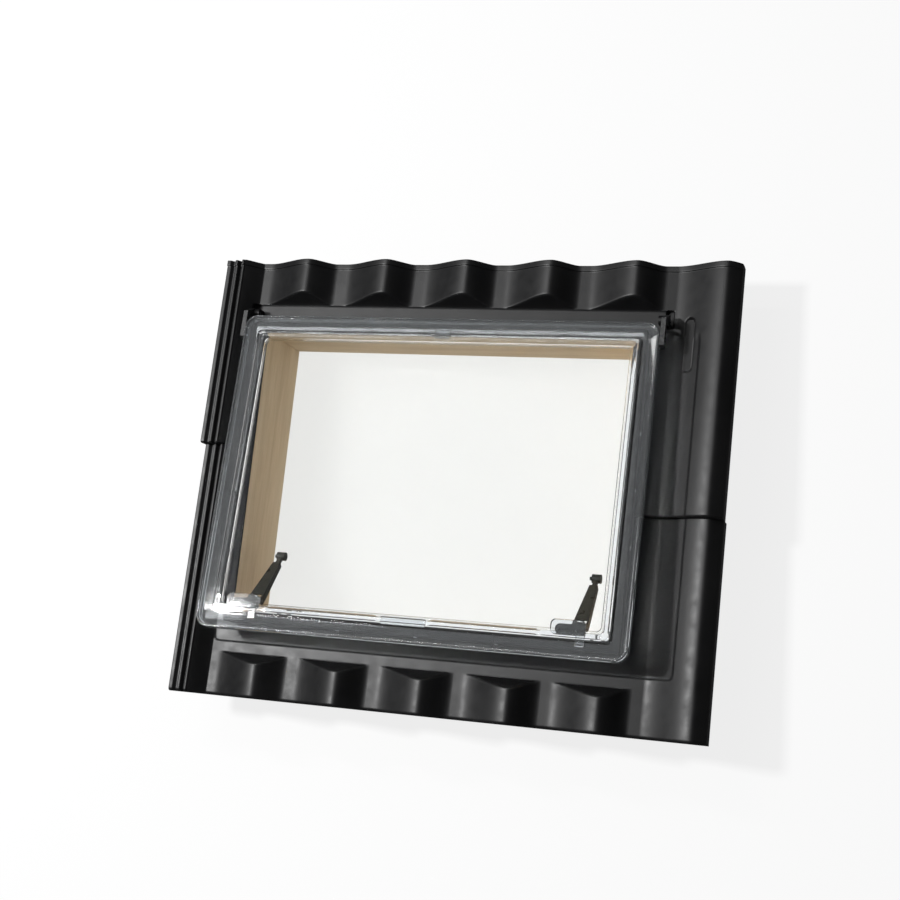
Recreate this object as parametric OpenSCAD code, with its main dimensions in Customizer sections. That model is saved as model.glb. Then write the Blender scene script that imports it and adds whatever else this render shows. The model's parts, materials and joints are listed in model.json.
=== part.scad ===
// Roof skylight: a tile-profile pan with an upstand, a timber lining box and a clear hinged lid
// that is held by two stays. X runs across the roof, Y up the slope and Z out of the roof.
// Z = 0 is the lower edge of the lining and X = Y = 0 is the middle of the pan.

/* [Light opening] */
// Clear width between the side boards of the lining
clear_w = 666; // [550:1:800]
// Clear length between the front and rear boards of the lining
clear_l = 501; // [410:1:610]
// Thickness of the lining boards
board_t = 15; // [12:0.5:20]
// Height of the lining boards
lining_h = 140; // [130:1:200]
// Height of the lining boards over the pan's trough
upstand_h = 42; // [40:1:60]

/* [Roof pan] */
// Wall thickness of the pan moulding
pan_t = 3.5; // [3:0.1:4.5]
// Ribs and gutter to the left of the upstand
left_margin = 92; // [88:1:130]
// Gutter and full-length wave to the right of the upstand
right_margin = 144; // [140:1:190]
// Part of the pan above the upstand
top_margin = 120; // [110:1:200]
// Part of the pan below the upstand
bottom_margin = 125; // [110:1:200]
// Height of a wave crest over its trough
wave_h = 34; // [24:1:36]
// Rise of each course from its upper end to its nose
course_rise = 20; // [16:1:24]
// Height of the step between the two courses
step_h = 15; // [10:1:16]
// Distance from the middle of the pan down to the course step
step_below = 37; // [0:1:80]
// Length of the short waves above and below the window
stub_l = 76; // [50:1:90]

/* [Lid] */
// How far the lid stands open in the position drawn, in degrees
lid_open = 4.9; // [1:0.1:20]
// Thickness of the outer clear sheet
sheet_t = 3; // [2.5:0.1:4]
// Overhang of the lid past the upstand at each side
side_over = 22; // [18:1:40]
// Overhang of the lid past the upstand at the front
front_over = 17; // [14:1:40]
// Overhang of the lid past the upstand at the rear
rear_over = 6; // [6:0.5:10]
// Depth of the lid's side skirt below its flange
skirt_drop = 12.5; // [11:0.5:16]
// Width of the flat flange round the lid
flange_w = 27; // [25:0.5:30]
// Height of the rounded ridge round the pane
ridge_h = 2.5; // [1:0.5:4]
// Corner radius of the lid
lid_r = 22; // [16:1:30]

/* [Stays] */
// Length of a stay from its pivot to the middle of its head
stay_l = 120; // [90:1:130]
// Width of a stay at its pivot
stay_w = 24; // [22:0.5:28]
// Angle of the stays below the lid in the position drawn, in degrees
stay_angle = 39; // [10:1:80]
// Distance between the two stay brackets
stay_spread = 567; // [440:1:600]
// Diameter of the stay pivot pins
stay_pin_d = 5; // [4:0.5:6]

/* [Hinges] */
// Diameter of the hinge pins
hinge_pin_d = 6; // [5:0.5:8]
// Distance from the upstand's rear face to the hinge axis
hinge_back = 20; // [18:0.5:24]
// Height of the hinge axis over the pan's trough
hinge_up = 22; // [21:0.5:26]

/* [Hidden] */
$fn = 48;

black = [0.07, 0.07, 0.075];
clear_grey = [0.75, 0.80, 0.82, 0.45];
ply = [0.80, 0.66, 0.46];
steel = [0.72, 0.73, 0.75];

run_gap = 0.05;       // radial clearance of a pin in its bore
seat_gap = 0.3;       // gap between pieces that rest on or beside each other
cut = 40;             // how far a cut runs past what it cuts
waves = 6;

// upstand and lining in plan
board_gap = 1;        // between a board and the upstand wall
wall_t = 3;           // upstand wall
wall_out = board_t + board_gap + wall_t;
upstand_w = clear_w + 2 * wall_out;
upstand_l = clear_l + 2 * wall_out;
upstand_r = 5;
pan_w = upstand_w + left_margin + right_margin;
pan_l = upstand_l + top_margin + bottom_margin;
win_x = (left_margin - right_margin) / 2;
win_y = (bottom_margin - top_margin) / 2;
rear_y = win_y + clear_l / 2;
front_y = win_y - clear_l / 2;

// levels
trough_z = lining_h - upstand_h;
rim_t = 3;
rim_top = lining_h + seat_gap + rim_t;

// waves
rib_w = 11;
rib_gap = 4;
rib_top = [20, 23, 27];
rib_valley = 15;
rib_slope_w = 26;
ribs_w = 3 * rib_w + 2 * rib_gap + rib_slope_w;
rib_inset = 4;        // lower course starts this far inboard
crest_inset = 22;     // last crest from the right edge
interlock_w = 40;
pitch = (pan_w - interlock_w) / waves;
flank_left = 0.585 * pitch;
flank_right = 0.28 * pitch;
tilt = atan(course_rise / (pan_l / 2 + step_below));
end_run = 16;         // run of the sloping end of a short wave
lap = 12;             // upper course over the lower one
nose_t = 5;
nose_drop = 18;
lip_h = 2.5;
lip_w = 10;
edge_drop = 10;
top_y = pan_l / 2 - (wave_h + lip_h) * sin(tilt);   // upper end of the upper course's trough

// recess in the right gutter
recess_w = 18;
recess_l = 92;
recess_z = 4.5;
recess_from_top = 91;
recess_from_right = 81;

// lid, drawn shut and then turned about the hinge
lid_w = upstand_w + 2 * side_over;
lid_l = upstand_l + front_over + rear_over;
lid_y = win_y + (rear_over - front_over) / 2;
flange_z = rim_top + 3.2;
flange_t = 3;
bead_w = 4;
bead_h = 2;
seal_w = 6;
ridge_w = 9;
pane_in = flange_w + seal_w + ridge_w;
pane_z = flange_z + 2;
spacer_w = 4;
inner_in = pane_in + 1;
inner_t = 2.5;
inner_z = rim_top - 1.9;
bay_w = 92;
lug_w = 78;
bridge_w = 28;

// hinge
axis_y = rear_y + wall_out + hinge_back;
axis_z = trough_z + hinge_up;
strap_t = 7.7;
strap_l = 57;
strap_h = 12;
strap_r = 9;
block_t = 9.7;
block_r = 8;
screw_r = 1.6;
screw_head_r = 3;
screw_head_t = 1.6;

// stays
pad_w = 57;
pad_l = 24;
pad_shift = -8.5;     // brackets are alike, not mirrored, so both sit a little to the left
arm_shift = 16;       // stay from the middle of its pad
pad_y = front_y + 13;
pad_top = pane_z + sheet_t + 1.5;
plate_w = 44;
plate_l = 17;
plate_t = 3;
plate_extra = 5;
plate_hole_gap = 30;
pad_z = inner_z;
pivot_r = 7;
pivot_z = pad_z - plate_t - pivot_r - 0.4;
pivot_y = pad_y + 4.5;
plate_y = pad_y - 2.5;
plate_hole_y = pad_y - 5;
cheek_t = 2.5;
lug_gap = 0.3;
stay_tip_w = 14;
channel_l = stay_l - 22;
head_r = 7.5;
head_w = 15;
nub_r = 3;
nub_l = 4;
neck_w = 7;

// keepers on the front board
keeper_angle = 90;
keeper_gap = 0.7;
keeper_t = 2.5;
keeper_h = 18;

// screws
corner_screw_l = 3 * board_t;
upstand_screw_l = wall_t + board_gap + board_t - 4;
hinge_screw_l = strap_t + seat_gap + sheet_t - 0.5;
bracket_screw_l = plate_t + pad_top - pad_z - 3;
keeper_screw_l = keeper_t + board_t - 4;

// ---------------------------------------------------------------- helpers

// rounded rectangle about its centre
module rrect(w, l, r) {
    square([w - 2 * r, l], center = true);
    square([w, l - 2 * r], center = true);
    for (x = [-1, 1], y = [-1, 1])
        translate([x * (w / 2 - r), y * (l / 2 - r)]) circle(r);
}

// flat ring between two insets from the lid's edge
module lid_band(outer, inner) {
    difference() {
        rrect(lid_w - 2 * outer, lid_l - 2 * outer, max(lid_r - outer * 0.5, 8));
        rrect(lid_w - 2 * inner, lid_l - 2 * inner, max(lid_r - inner * 0.5, 8));
    }
}

module lid_plan(inset) {
    rrect(lid_w - 2 * inset, lid_l - 2 * inset, max(lid_r - inset * 0.5, 8));
}

// puts the children on the lid, which turns about the hinge
module on_lid() {
    translate([0, axis_y, axis_z]) rotate([-lid_open, 0, 0]) translate([0, -axis_y, -axis_z]) children();
}

// turns a Y-Z outline and gives it a width along X
module across(w) {
    rotate([90, 0, 90]) linear_extrude(w, center = true) children();
}

function bump(u) =
    u <= -flank_left || u >= flank_right ? 0
    : wave_h * (1 + cos(180 * u / (u < 0 ? flank_left : flank_right))) / 2;

function crest_x(k) = pan_w / 2 - crest_inset - (waves - 1 - k) * pitch;

// top line of the ribs, the flat trough and the waves from number k0 on
function rib_line(left) = concat(
    [for (i = [0:2], p = [[0, i == 0 ? 0 : rib_valley], [1.5, rib_top[i]],
                          [rib_w - 1.5, rib_top[i]], [rib_w, rib_valley]])
        if (!(i == 2 && p[0] == rib_w)) [left + i * (rib_w + rib_gap) + p[0], p[1]]],
    [[-pan_w / 2 + ribs_w, 0]]);

function wave_line(k0, right) = concat(
    [for (k = [k0:waves - 1], i = [0:11])
        let (u = i < 7 ? -flank_left * (1 - i / 6) : flank_right * (i - 6) / 5)
        if (crest_x(k) + u < right - 0.5) [crest_x(k) + u, bump(u)]],
    [[right, bump(right - crest_x(waves - 1))]]);

function top_line(left, k0) = concat(rib_line(left), wave_line(k0, pan_w / 2));
function shift_line(line, dz) = [for (p = line) [p[0], p[1] + dz]];
function flip_line(line) = [for (i = [len(line) - 1:-1:0]) line[i]];

// strip that follows a top line, from dz_low to dz_high about it
module band(line, dz_low, dz_high, w) {
    rotate([90, 0, 0]) linear_extrude(w)
        polygon(concat(shift_line(line, dz_high), flip_line(shift_line(line, dz_low))));
}

// space over the trough where the waves are left out, with sloping ends
module window_zone(y_low, y_high, depth) {
    rise = wave_h + 4;
    run = (rise + depth) * end_run / wave_h;
    x0 = -pan_w / 2 + ribs_w + 1;
    x1 = crest_x(waves - 1) - flank_left;
    translate([(x0 + x1) / 2, 0, 0]) across(x1 - x0)
        polygon([[y_low, -depth], [y_high, -depth], [y_high + run, rise], [y_low - run, rise]]);
}

module recess_plan(grow) {
    x = pan_w / 2 - recess_from_right;
    for (y = [recess_w / 2, recess_l - recess_w / 2])
        translate([x, -recess_from_top - y]) circle(recess_w / 2 + grow);
    translate([x - recess_w / 2 - grow, -recess_from_top - recess_l + recess_w / 2])
        square([recess_w + 2 * grow, recess_l - recess_w]);
}

// one course of the pan: its upper end is at Y = 0 and its nose at Y = -length
module course(length, left, zone_low, zone_high, with_recess) {
    line = top_line(left, 0);
    inner = shift_line(concat([[-pan_w / 2 + ribs_w, 0]], wave_line(0, pan_w / 2 - pan_t)), -pan_t - 0.01);
    difference() {
        union() {
            rotate([90, 0, 0]) linear_extrude(length)
                polygon(concat([[left, -pan_t]], line, [[pan_w / 2, -pan_t]]));
            translate([pan_w / 2 - pan_t, -length, -edge_drop]) cube([pan_t, length, edge_drop]);
            translate([left, -length, -edge_drop]) cube([pan_t, length, edge_drop]);
        }
        window_zone(zone_low, zone_high, 0);
        difference() {
            translate([0, -pan_t, 0]) rotate([90, 0, 0]) linear_extrude(length - pan_t - nose_t)
                polygon(concat([[-pan_w / 2 + ribs_w, -pan_t - 8]], inner, [[pan_w / 2 - pan_t, -pan_t - 8]]));
            window_zone(zone_low - pan_t, zone_high + pan_t, pan_t);
            if (with_recess) translate([0, 0, -cut]) linear_extrude(2 * cut) recess_plan(pan_t);
        }
        if (with_recess) translate([0, 0, recess_z]) linear_extrude(cut) recess_plan(0);
        translate([left + pan_t, -length + nose_t, -pan_t - 8])
            cube([ribs_w - rib_slope_w, length - nose_t - pan_t, rib_valley + 8]);
    }
}

module upper_course() {
    length = (top_y + step_below) / cos(tilt);
    translate([0, top_y, trough_z]) rotate([-tilt, 0, 0]) {
        course(length, -pan_w / 2, -length - cut, -stub_l, true);
        band(top_line(-pan_w / 2, 0), -1, lip_h, lip_w);
        translate([0, -length + nose_t, 0])
            band(top_line(-pan_w / 2, waves - 1), -nose_drop, 0, nose_t);
    }
}

module lower_course() {
    length = (pan_l / 2 - step_below + lap - nose_drop * sin(tilt)) / cos(tilt);
    start_z = trough_z + course_rise - step_h - lap * tan(tilt);
    left = -pan_w / 2 + rib_inset;
    translate([0, -step_below + lap, start_z]) rotate([-tilt, 0, 0]) {
        course(length, left, -length + stub_l, cut, false);
        translate([0, -length + nose_t, 0]) band(top_line(left, 0), -nose_drop, 0, nose_t);
    }
}

// height of the upper course's trough at a given Y
function shelf_z(y) = trough_z + (top_y - y) * tan(tilt);

// places where the upstand is screwed to the lining: [x, y, turn about Z]
upstand_marks = concat(
    [for (s = [-1, 1], f = [-0.7, 0, 0.7])
        [win_x + s * upstand_w / 2, win_y + f * upstand_l / 2, s < 0 ? 0 : 180]],
    [for (s = [-1, 1], f = [-0.8, 0, 0.8])
        [win_x + f * upstand_w / 2, win_y + s * upstand_l / 2, s < 0 ? 90 : -90]]);
mark_z = lining_h - 12;

module at_upstand_marks() {
    for (m = upstand_marks) translate([m[0], m[1], mark_z]) rotate([0, 0, m[2]]) rotate([0, 90, 0]) children();
}

// hinge wells: open pockets at both ends of the upper shelf
well_w = strap_t + 4;
well_l = 33;
well_depth = 8;

module well_block(grow, low) {
    for (s = [-1, 1])
        translate([win_x + s * (lid_w / 2 + well_w / 2 - 1) - well_w / 2 - grow,
                   axis_y - 11 - grow, low]) cube([well_w + 2 * grow, well_l + 2 * grow, cut + 20]);
}

// ---------------------------------------------------------------- frame pieces

module tile_pan() color(black) {
    floor_z = shelf_z(axis_y) - well_depth;
    difference() {
        union() {
            upper_course();
            lower_course();
            translate([win_x, win_y, trough_z - 2])
                linear_extrude(rim_top - trough_z + 2) rrect(upstand_w, upstand_l, upstand_r);
            intersection() {
                well_block(pan_t, floor_z - pan_t);
                translate([-pan_w / 2, 0, floor_z - pan_t]) cube([pan_w, pan_l / 2, well_depth + pan_t - 1]);
            }
        }
        translate([win_x, win_y, -cut]) linear_extrude(cut + rim_top - rim_t)
            rrect(upstand_w - 2 * wall_t, upstand_l - 2 * wall_t, upstand_r - wall_t);
        translate([win_x, win_y, 0]) linear_extrude(rim_top + cut) square([clear_w, clear_l], center = true);
        well_block(0, floor_z);
        at_upstand_marks() screw_hole(upstand_screw_l);
    }
}

// one lining board; the front and rear boards cover the ends of the side boards
module end_board(y, s) color(ply)
    difference() {
        translate([win_x - clear_w / 2 - board_t, min(y, y + s * board_t), 0])
            cube([clear_w + 2 * board_t, board_t, lining_h]);
        at_corner_screws() screw_hole(corner_screw_l);
        at_upstand_marks() screw_hole(upstand_screw_l);
        at_keeper_screws() screw_hole(keeper_screw_l);
    }

module side_board(s) color(ply)
    difference() {
        translate([win_x + s * (clear_w / 2 + board_t / 2) - board_t / 2, front_y, 0])
            cube([board_t, clear_l, lining_h]);
        at_corner_screws() screw_hole(corner_screw_l);
        at_upstand_marks() screw_hole(upstand_screw_l);
    }

module at_corner_screws() {
    for (sx = [-1, 1], sy = [-1, 1], z = [0.2, 0.5, 0.8])
        translate([win_x + sx * (clear_w + board_t) / 2, win_y + sy * (clear_l / 2 + board_t), z * lining_h * 0.78])
            rotate([sy * 90, 0, 0]) children();
}

module lining_front() end_board(front_y, -1);
module lining_rear() end_board(rear_y, 1);
module lining_left() side_board(-1);
module lining_right() side_board(1);

// pan head outside Z = 0 and shank along +Z
module screw(length) {
    translate([0, 0, -screw_head_t]) cylinder(h = screw_head_t, r = screw_head_r);
    cylinder(h = length, r = screw_r);
}

// hole for a screw of the given length
module screw_hole(length) {
    translate([0, 0, -1]) cylinder(h = length + 2, r = screw_r + run_gap);
}

module lining_screws() color(steel)
    at_corner_screws() screw(corner_screw_l);

module upstand_screws() color(steel)
    at_upstand_marks() screw(upstand_screw_l);

// ---------------------------------------------------------------- lid

function pad_x(s) = win_x + pad_shift + s * stay_spread / 2;
function arm_x(s) = pad_x(s) + arm_shift;

module pad_plan(grow) {
    for (s = [-1, 1]) translate([pad_x(s), pad_y]) rrect(pad_w + 2 * grow, pad_l + 2 * grow, 8 + grow);
}

module lid_shell() color(clear_grey) on_lid() difference() {
    union() {
        // skirt and the bead on its top
        translate([win_x, lid_y, flange_z - skirt_drop]) linear_extrude(skirt_drop + flange_t) lid_band(0, sheet_t);
        translate([win_x, lid_y, flange_z]) linear_extrude(flange_t + bead_h) lid_band(0, bead_w);
        // flange, then the raised pane with its ridge
        translate([win_x, lid_y, flange_z]) linear_extrude(flange_t) lid_band(sheet_t - 1, flange_w + seal_w + 1);
        translate([win_x, lid_y, pane_z]) linear_extrude(sheet_t) lid_plan(flange_w + seal_w);
        translate([win_x, lid_y, pane_z]) linear_extrude(sheet_t + ridge_h) difference() {
            lid_band(flange_w + seal_w, pane_in);
            for (s = [-1, 1])
                translate([pad_x(s) + (s > 0 ? 6 : 0) - win_x, -lid_l / 2]) square([bay_w, 4 * pane_in - 60], center = true);
        }
        // spacer that carries the inner pane
        translate([win_x, lid_y, inner_z + inner_t]) linear_extrude(pane_z - inner_z - inner_t + 1)
            difference() {
                lid_band(pane_in, pane_in + spacer_w);
                translate([-win_x, -lid_y]) pad_plan(4);
            }
        // pads for the stay brackets, each with a short stem to the flange
        translate([0, 0, pad_z]) linear_extrude(pad_top - pad_z) pad_plan(0);
        for (s = [-1, 1])
            translate([pad_x(s) + 14, pad_y - pad_l / 2 - 20, pane_z + 1]) cube([15, 22, sheet_t + 2]);
        // lug at the front and bridge at the rear
        translate([win_x - lug_w / 2, lid_y - lid_l / 2 + flange_w + 2, pane_z]) cube([lug_w, 13, sheet_t + ridge_h + 1]);
        translate([win_x - bridge_w / 2, lid_y + lid_l / 2 - flange_w - 10, pane_z]) cube([bridge_w, 16, sheet_t + ridge_h]);
    }
    // channel that holds the seal and the groove over it
    translate([win_x, lid_y, flange_z - 1]) linear_extrude(2.1) lid_band(flange_w, flange_w + seal_w - 0.8);
    translate([win_x, lid_y, flange_z + flange_t - 0.8]) linear_extrude(cut) difference() {
        lid_band(flange_w, flange_w + 2);
        translate([0, lid_l / 2]) square([bridge_w, 4 * flange_w], center = true);
        translate([0, -lid_l / 2]) square([lug_w, 4 * flange_w], center = true);
    }
    at_hinge_screws() screw_hole(hinge_screw_l);
    at_bracket_screws() screw_hole(bracket_screw_l);
}

module inner_pane() color(clear_grey) on_lid() difference() {
    translate([win_x, lid_y, inner_z]) linear_extrude(inner_t) lid_plan(inner_in);
    translate([0, 0, inner_z - 1]) linear_extrude(inner_t + 2) {
        pad_plan(seat_gap);
        for (s = [-1, 1]) translate([pad_x(s), pad_y - pad_l]) square([pad_w + 2 * seat_gap, 2 * pad_l], center = true);
    }
}

module lid_seal() color(black) on_lid()
    translate([win_x, lid_y, rim_top + seat_gap]) linear_extrude(flange_z + 1 - rim_top - seat_gap)
        lid_band(flange_w + 0.4, flange_w + seal_w - 1.2);

// ---------------------------------------------------------------- hinges

module at_hinge_screws() {
    for (s = [-1, 1], y = [8, 22])
        translate([win_x + s * (lid_w / 2 + strap_t + seat_gap), axis_y - strap_l + y, flange_z - skirt_drop / 2 + 1])
            rotate([0, -s * 90, 0]) children();
}

module hinge_strap(s) color(black) on_lid() difference() {
    top = flange_z + flange_t;
    translate([win_x + s * (lid_w / 2 + seat_gap + strap_t / 2), 0, 0]) {
        translate([0, axis_y, axis_z]) rotate([0, 90, 0]) cylinder(h = strap_t, r = strap_r, center = true);
        across(strap_t)
            polygon([[axis_y - strap_l, top - strap_h], [axis_y - strap_l + 4, top], [axis_y - 5, top],
                     [axis_y + strap_r * cos(20), axis_z + strap_r * sin(20)],
                     [axis_y - strap_r + 1, axis_z - 4], [axis_y - 14, top - strap_h]]);
    }
    hinge_bore();
    at_hinge_screws() screw_hole(hinge_screw_l);
}

module hinge_bore() {
    translate([win_x, axis_y, axis_z]) rotate([0, 90, 0])
        cylinder(h = 2 * lid_w, r = hinge_pin_d / 2 + run_gap, center = true);
}

module hinge_strap_left() hinge_strap(-1);
module hinge_strap_right() hinge_strap(1);

module hinge_screws() color(steel) on_lid()
    at_hinge_screws() screw(hinge_screw_l);

module hinge_block(s) color(black) difference() {
    x = win_x + s * (lid_w / 2 - seat_gap - block_t / 2);
    base = shelf_z(axis_y - block_r) + 0.2;
    translate([x, 0, 0]) across(block_t) {
        translate([axis_y, axis_z]) circle(block_r);
        translate([axis_y - block_r, base]) square([2 * block_r, axis_z - base]);
    }
    hinge_bore();
}

module hinge_block_left() hinge_block(-1);
module hinge_block_right() hinge_block(1);

module hinge_pin(s) color(steel) {
    x0 = lid_w / 2 - seat_gap - block_t + 0.5;
    x1 = lid_w / 2 + seat_gap + strap_t - 0.5;
    translate([win_x + s * (x0 + x1) / 2, axis_y, axis_z]) rotate([0, 90, 0])
        cylinder(h = x1 - x0, d = hinge_pin_d, center = true);
}

module hinge_pin_left() hinge_pin(-1);
module hinge_pin_right() hinge_pin(1);

// ---------------------------------------------------------------- stays

module at_bracket_screws() {
    for (s = [-1, 1], x = [-1, 1])
        translate([pad_x(s) + x * plate_hole_gap / 2 - 2, plate_hole_y, pad_z - plate_t]) children();
}

// plate with a pivot block under it
module stay_bracket(s) color(black) on_lid() difference() {
    block_w = stay_w - 2 * cheek_t - 2 * lug_gap - 1;
    union() {
        translate([pad_x(s), plate_y, pad_z - plate_t]) linear_extrude(plate_t) {
            rrect(plate_w, plate_l, plate_l / 2 - 0.5);
            translate([0, -plate_l / 2]) square([plate_w / 2 + plate_extra, plate_l]);
        }
        translate([arm_x(s), 0, 0]) across(block_w) {
            translate([pivot_y, pivot_z]) circle(pivot_r - 1);
            translate([pivot_y - pivot_r + 1, pivot_z]) square([2 * pivot_r - 2, pad_z - 1 - pivot_z]);
        }
    }
    translate([arm_x(s), pivot_y, pivot_z]) rotate([0, 90, 0])
        cylinder(h = 2 * stay_w, r = stay_pin_d / 2 + run_gap, center = true);
    at_bracket_screws() screw_hole(bracket_screw_l);
}

module stay_bracket_left() stay_bracket(-1);
module stay_bracket_right() stay_bracket(1);

module bracket_screws() color(steel) on_lid()
    at_bracket_screws() screw(bracket_screw_l);

module stay_pin(s) color(steel) on_lid()
    translate([arm_x(s), pivot_y, pivot_z]) rotate([0, 90, 0])
        cylinder(h = stay_w - 0.6, d = stay_pin_d, center = true);

module stay_pin_left() stay_pin(-1);
module stay_pin_right() stay_pin(1);

// tapered channel along +Y with a neck and a round head
module stay_shape() {
    difference() {
        intersection() {
            translate([0, 0, -pivot_r]) linear_extrude(2 * pivot_r)
                polygon([[-stay_w / 2, -pivot_r], [stay_w / 2, -pivot_r], [stay_w / 2, 8],
                         [stay_tip_w / 2, channel_l], [-stay_tip_w / 2, channel_l], [-stay_w / 2, 8]]);
            across(2 * stay_w) {
                circle(pivot_r);
                polygon([[0, -pivot_r], [channel_l, -pivot_r + 2], [channel_l, pivot_r - 2], [0, pivot_r]]);
            }
        }
        translate([0, 0, -pivot_r - 1]) linear_extrude(2 * pivot_r - 1.5)
            polygon([[-stay_w / 2 + cheek_t, -cut], [stay_w / 2 - cheek_t, -cut], [stay_w / 2 - cheek_t, 8],
                     [stay_tip_w / 2 - cheek_t, channel_l - cheek_t], [-stay_tip_w / 2 + cheek_t, channel_l - cheek_t],
                     [-stay_w / 2 + cheek_t, 8]]);
        translate([-stay_w / 2 + cheek_t, -cut, -cut]) cube([stay_w - 2 * cheek_t, cut + pivot_r + 3, 2 * cut]);
        rotate([0, 90, 0]) cylinder(h = 2 * stay_w, r = stay_pin_d / 2 + run_gap, center = true);
    }
    translate([-neck_w / 2, channel_l - 1, -neck_w / 2]) cube([neck_w, stay_l - channel_l, neck_w]);
    translate([0, stay_l, 0]) rotate([0, 90, 0]) cylinder(h = head_w, r = head_r, center = true);
    translate([-head_w / 2 - nub_l, stay_l, 0]) rotate([0, 90, 0]) cylinder(h = nub_l + 1, r = nub_r);
}

module stay_arm(s) color(black) on_lid()
    translate([arm_x(s), pivot_y, pivot_z]) rotate([-stay_angle, 0, 0]) stay_shape();

module stay_arm_left() stay_arm(-1);
module stay_arm_right() stay_arm(1);

// ---------------------------------------------------------------- keepers

keep_y = pivot_y + stay_l * cos(keeper_angle);
keep_z = pivot_z - stay_l * sin(keeper_angle);

module at_keeper_screws() {
    for (s = [-1, 1], z = [-5, 5])
        translate([arm_x(s), front_y + keeper_t, keep_z + z]) rotate([90, 0, 0]) children();
}

module keeper(s) color(black) difference() {
    gap_w = head_w + 2 * keeper_gap;
    w = gap_w + 2 * keeper_t;
    reach = keep_y - front_y + 5;
    translate([arm_x(s) - w / 2, front_y, keep_z - keeper_h / 2]) cube([w, reach, keeper_h]);
    translate([arm_x(s) - gap_w / 2, front_y + keeper_t, keep_z - keeper_h])
        cube([gap_w, reach, 2 * keeper_h]);
    translate([arm_x(s) - w, keep_y, keep_z]) rotate([0, 90, 0]) cylinder(h = w, r = nub_r + keeper_gap);
    at_keeper_screws() screw_hole(keeper_screw_l);
}

module keeper_left() keeper(-1);
module keeper_right() keeper(1);

module keeper_screws() color(steel)
    at_keeper_screws() screw(keeper_screw_l);

// ---------------------------------------------------------------- nodes

tile_pan();
lining_front();
lining_rear();
lining_left();
lining_right();
lining_screws();
upstand_screws();
lid_shell();
inner_pane();
lid_seal();
hinge_strap_left();
hinge_strap_right();
hinge_screws();
hinge_pin_left();
hinge_pin_right();
hinge_block_left();
hinge_block_right();
stay_bracket_left();
stay_bracket_right();
bracket_screws();
stay_pin_left();
stay_pin_right();
stay_arm_left();
stay_arm_right();
keeper_left();
keeper_right();
keeper_screws();
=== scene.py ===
"""Roof skylight: a tile-profile pan with an upstand, a timber lining and a clear hinged lid on two stays.

X runs across the roof, Y up the slope and Z out of the roof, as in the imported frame. Sizes are given in
millimetres, and a mesh is brought to metres when it becomes an object. Materials count in metres.
"""
import json
import logging
import math
from collections.abc import Iterable
from dataclasses import dataclass, field
from enum import Enum

import bmesh
import bpy
from mathutils import Matrix, Vector


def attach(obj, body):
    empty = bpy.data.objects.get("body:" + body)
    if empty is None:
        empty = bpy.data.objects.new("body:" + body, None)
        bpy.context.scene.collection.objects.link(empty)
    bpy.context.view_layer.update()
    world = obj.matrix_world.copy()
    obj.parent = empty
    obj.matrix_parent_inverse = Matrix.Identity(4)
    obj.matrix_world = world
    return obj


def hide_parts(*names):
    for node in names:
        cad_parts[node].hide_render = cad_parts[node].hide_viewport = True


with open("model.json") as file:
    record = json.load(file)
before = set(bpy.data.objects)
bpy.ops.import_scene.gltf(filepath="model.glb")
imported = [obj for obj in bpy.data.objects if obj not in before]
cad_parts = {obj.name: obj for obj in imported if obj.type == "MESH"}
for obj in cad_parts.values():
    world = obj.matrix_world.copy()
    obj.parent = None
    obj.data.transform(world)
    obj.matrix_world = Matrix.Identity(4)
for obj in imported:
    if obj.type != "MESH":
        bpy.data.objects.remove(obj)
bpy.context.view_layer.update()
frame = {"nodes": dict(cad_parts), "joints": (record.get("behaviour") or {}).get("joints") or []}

LOG = logging.getLogger("skylight")
MM = 0.001


class Side(Enum):
    """The four edges of a rectangle in plan."""

    FRONT = "front"
    REAR = "rear"
    LEFT = "left"
    RIGHT = "right"


# ---------------------------------------------------------------- small maths


def clamp(value: float, low: float = 0.0, high: float = 1.0) -> float:
    """Keeps a value between two limits."""
    return max(low, min(high, value))


def smooth(value: float) -> float:
    """Eases a share from 0 to 1, flat at both ends."""
    t = clamp(value)
    return t * t * (3 - 2 * t)


def soft_min(a: float, b: float, radius: float) -> float:
    """The lower of two heights, with their meeting line rounded.

    Args:
        a: One height.
        b: The other height.
        radius: Size of the rounding, which shrinks as the lower height nears zero.

    Returns:
        The rounded lower height.
    """
    k = radius * clamp(min(a, b) / (1.6 * radius))
    if k <= 0:
        return min(a, b)
    h = clamp(0.5 + 0.5 * (b - a) / k)
    return b + (a - b) * h - k * h * (1 - h)


def rounded(share: float, radius: float) -> float:
    """A share from 0 to 1 that starts level and then runs straight.

    Args:
        share: The even share.
        radius: How long the level start is.

    Returns:
        The rounded share.
    """
    return (math.hypot(share, radius) - radius) / (math.hypot(1.0, radius) - radius)


def box_distance(x: float, y: float, low: tuple[float, float], high: tuple[float, float],
                 radius: float) -> float:
    """Signed distance in plan to a rectangle with rounded corners, negative inside.

    Args:
        x: Point across the roof.
        y: Point up the slope.
        low: Lowest corner of the rectangle.
        high: Highest corner of the rectangle.
        radius: Corner radius.

    Returns:
        The distance.
    """
    dx = abs(x - (low[0] + high[0]) / 2) - (high[0] - low[0]) / 2 + radius
    dy = abs(y - (low[1] + high[1]) / 2) - (high[1] - low[1]) / 2 + radius
    return math.hypot(max(dx, 0), max(dy, 0)) + min(max(dx, dy), 0) - radius


def spread(start: float, end: float, step: float) -> list[float]:
    """Even places from start up to end, without the end itself.

    Args:
        start: First place.
        end: Where the next stretch starts.
        step: Longest distance between two places.

    Returns:
        The places in order.
    """
    count = max(1, math.ceil(abs(end - start) / step - 1e-9))
    return [start + (end - start) * i / count for i in range(count)]


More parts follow.
